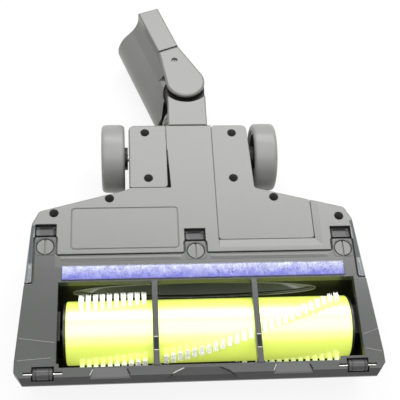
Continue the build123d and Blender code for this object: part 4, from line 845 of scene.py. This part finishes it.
# %% Edges of the lip's ramps
RAMP_FOOT = -81.2
RAMPS = {  # middle, half width at the top and at the foot, and top along Y
    "left": (-68.8, 12.5, 15.2, -75.6),
    "centre": (0.0, 13.0, 23.0, -76.4),
    "right": (68.8, 12.5, 15.2, -75.6),
}
# Along each ramp, a painted highlight on the left side and painted shade on the right.
RAMP_SIDES = {  # side of the ramp, width, rise and finish
    "edge": (-1.0, 0.8, 0.2, painted_highlight_plastic),
    "shade": (1.0, 1.2, 0.15, painted_shade_plastic),
}
for name, (middle, half_top, half_foot, top_y) in RAMPS.items():
    for kind, (sign, width, lift, finish) in RAMP_SIDES.items():
        run = straight((middle + sign * half_top, top_y), (middle + sign * half_foot, RAMP_FOOT), 16)
        points, faces = ridge_along(run, width, lift, rows=7)
        add_piece(f"lip_{kind}_{name}", points, faces, finish, "head")

# %% Bar notches
NOTCH_FRONT, NOTCH_REAR, BAR_HALF, BAR_TOP = -62.4, -51.8, 2.1, 1.0
SKIN_RISE, EDGE_WIDTH, EDGE_RISE = 0.1, 0.9, 0.3
# Each notch is painted shade, a black skin on the bar, between two edges painted as highlights.
for name, x in (("left", BARS[0]), ("right", BARS[1])):
    points, faces = ridge_along(straight((x, NOTCH_FRONT), (x, NOTCH_REAR)), 2.0 * BAR_HALF, SKIN_RISE, rows=9)
    add_piece(f"bar_notch_{name}", points + (0.0, 0.0, BAR_TOP), faces, painted_shade_plastic, "head")
    for part, y in (("front", NOTCH_FRONT), ("rear", NOTCH_REAR)):
        run = straight((x - BAR_HALF, y), (x + BAR_HALF, y), 16)
        points, faces = ridge_along(run, EDGE_WIDTH, EDGE_RISE, rows=7)
        add_piece(f"bar_edge_{name}_{part}", points + (0.0, 0.0, BAR_TOP), faces, painted_highlight_plastic, "head")

# %% Slot floor
SLOT_X, SLOT_FRONT, SLOT_REAR, SLOT_WIDTH, SLOT_DROP = -19.4, 80.0, 108.0, 3.2, 8.0
# The slot's floor is painted shade.
run = straight((SLOT_X, SLOT_FRONT), (SLOT_X, SLOT_REAR))
points, faces = ridge_along(run, SLOT_WIDTH, SKIN_RISE, rows=7)
add_piece("slot_floor", points - (0.0, 0.0, SLOT_DROP), faces, painted_shade_plastic, "head")

# %% Grip pads
PAD_FRONT, PAD_REAR, PAD_MID = -4.4, 11.2, (133.2, 67.3)
FLANK_SLOPE = 8.5 / 116.5
pad_cross = np.array([(130.9, 67.7), (131.2, 68.2), (132.0, 68.45), (133.2, 68.35), (134.2, 67.75), (134.95, 66.7),
                      (135.15, 65.4), (135.0, 64.2), (134.6, 63.9)])
v = np.linspace(0.0, 1.0, 24)
fill = np.clip(1.0 - (2.0 * v - 1.0) ** 8, 0.0, 1.0) ** 0.5
y = PAD_FRONT + v * (PAD_REAR - PAD_FRONT)
spread = PAD_MID[0] + (pad_cross[None, :, 0] - PAD_MID[0]) * (0.55 + 0.45 * fill[:, None])
x = spread - y[:, None] * FLANK_SLOPE
z = PAD_MID[1] + (pad_cross[None, :, 1] - PAD_MID[1]) * (0.4 + 0.6 * fill[:, None])
for name, sign in (("left", -1.0), ("right", 1.0)):
    points = np.stack([sign * x, np.broadcast_to(y[:, None], x.shape), z], axis=-1)
    add_piece(f"grip_pad_{name}", points, grid_quads(*x.shape), pad_plastic, "head", sharp=60.0)

# %% Flank bands
FLANK_Y, FLANK_IN, FLANK_OUT, FLANK_RISE, FLANK_FALL = (12.4, 46.5), 129.9, 135.2, 0.12, 1.9
WIDER_FROM, WIDER_OVER, WIDER_BY = 38.0, 9.0, 1.4

band_y = np.linspace(*FLANK_Y, 30)[:, None]
band_t = np.linspace(0.0, 1.0, 12)[None, :]
band_edge = FLANK_OUT - band_y * FLANK_SLOPE
wider = WIDER_BY * np.clip(band_y - WIDER_FROM, 0.0, WIDER_OVER) / WIDER_OVER
band_x = FLANK_IN + (band_edge - FLANK_IN) * band_t - wider * (1.0 - band_t)
band_z = GUARD_TOP + FLANK_RISE - FLANK_FALL * np.clip((band_t - 0.55) / 0.45, 0.0, 1.0) ** 2
for name, sign in (("left", -1.0), ("right", 1.0)):
    points = np.stack(np.broadcast_arrays(sign * band_x, band_y, band_z), axis=-1)
    add_piece(f"flank_band_{name}", points, grid_quads(*band_x.shape), flank_plastic, "head",
              sharp=60.0)

# %% Lock trays
TRAY_HALF, TRAY_BEHIND, TRAY_FLOOR, TRAY_EDGE = (8.45, 5.05), 15.3, 63.65, 67.9
tray_share = np.array([0.0, 0.5, 0.97, 1.0, 1.0])
tray_z = np.array([TRAY_FLOOR, TRAY_FLOOR, TRAY_FLOOR, TRAY_FLOOR + 0.35, TRAY_EDGE])
outline = rounded_box(*TRAY_HALF, 8.0)
# Each tray is painted shade: a near-black lining in the pocket behind a lock.
for name, (x, y) in LOCKS.items():
    flat = outline[None] * tray_share[:, None, None] + (x, y + TRAY_BEHIND)
    points = np.concatenate([flat, np.broadcast_to(tray_z[:, None, None], (*flat.shape[:2], 1))], axis=-1)
    add_piece(f"lock_tray_{name}", points, grid_quads(*flat.shape[:2], False, True), pocket_painted_shade, "head",
              sharp=60.0)

# %% Bar fillets
FILLET_R, FILLET_FOOT, FILLET_BITE, BAR_SIDE, BENDS = 3.0, 64.4, 0.3, 2.2, 9
WINDOW_REAR, WINDOW_FRONT = -4.5, -74.2

bend = np.radians(np.linspace(0.0, 90.0, BENDS))
fillet_z = np.array([GUARD_TOP, GUARD_TOP, FILLET_FOOT])
curve = np.column_stack([1.0 - np.cos(bend), 1.0 - np.sin(bend)]) * FILLET_R
fillet_points, fillet_faces = [], []
for x in BARS:
    for sign_x in (-1.0, 1.0):
        for end_y, sign_y in ((WINDOW_REAR, -1.0), (WINDOW_FRONT, 1.0)):
            corner = np.array([x + sign_x * (BAR_SIDE - FILLET_BITE), end_y - sign_y * FILLET_BITE])
            edge = np.array([x + sign_x * BAR_SIDE, end_y]) + curve * (sign_x, sign_y)
            flat = np.stack([np.broadcast_to(corner, edge.shape), edge, edge])
            z = np.broadcast_to(fillet_z[:, None, None], (len(fillet_z), BENDS, 1))
            fillet_faces.append(grid_quads(len(fillet_z), BENDS) + z.size * len(fillet_points))
            fillet_points.append(np.concatenate([flat, z], axis=-1).reshape(-1, 3))
add_piece("bar_fillets", np.vstack(fillet_points), np.vstack(fillet_faces), guard_plastic, "head")

# %% Mouth rim
MOUTH_HALF, MOUTH_Y, MOUTH_Z, RIM_R = np.array([98.6, 14.6]), -2.8, 44.2, 0.7

t = np.linspace(0.0, 2.0 * np.pi, 160, endpoint=False)
s = np.linspace(0.0, 2.0 * np.pi, 10, endpoint=False)
swing = np.column_stack([np.cos(t), np.sin(t)])
spread = MOUTH_HALF + RIM_R * np.cos(s)[:, None]
points = np.stack([spread[None, :, 0] * swing[:, None, 0],
                   np.broadcast_to(MOUTH_Y + RIM_R * np.sin(s), (len(t), len(s))),
                   MOUTH_Z + spread[None, :, 1] * swing[:, None, 1]], axis=-1)
add_piece("mouth_rim", points, grid_quads(len(t), len(s), True, True), rim_plastic, "head", sharp=80.0)
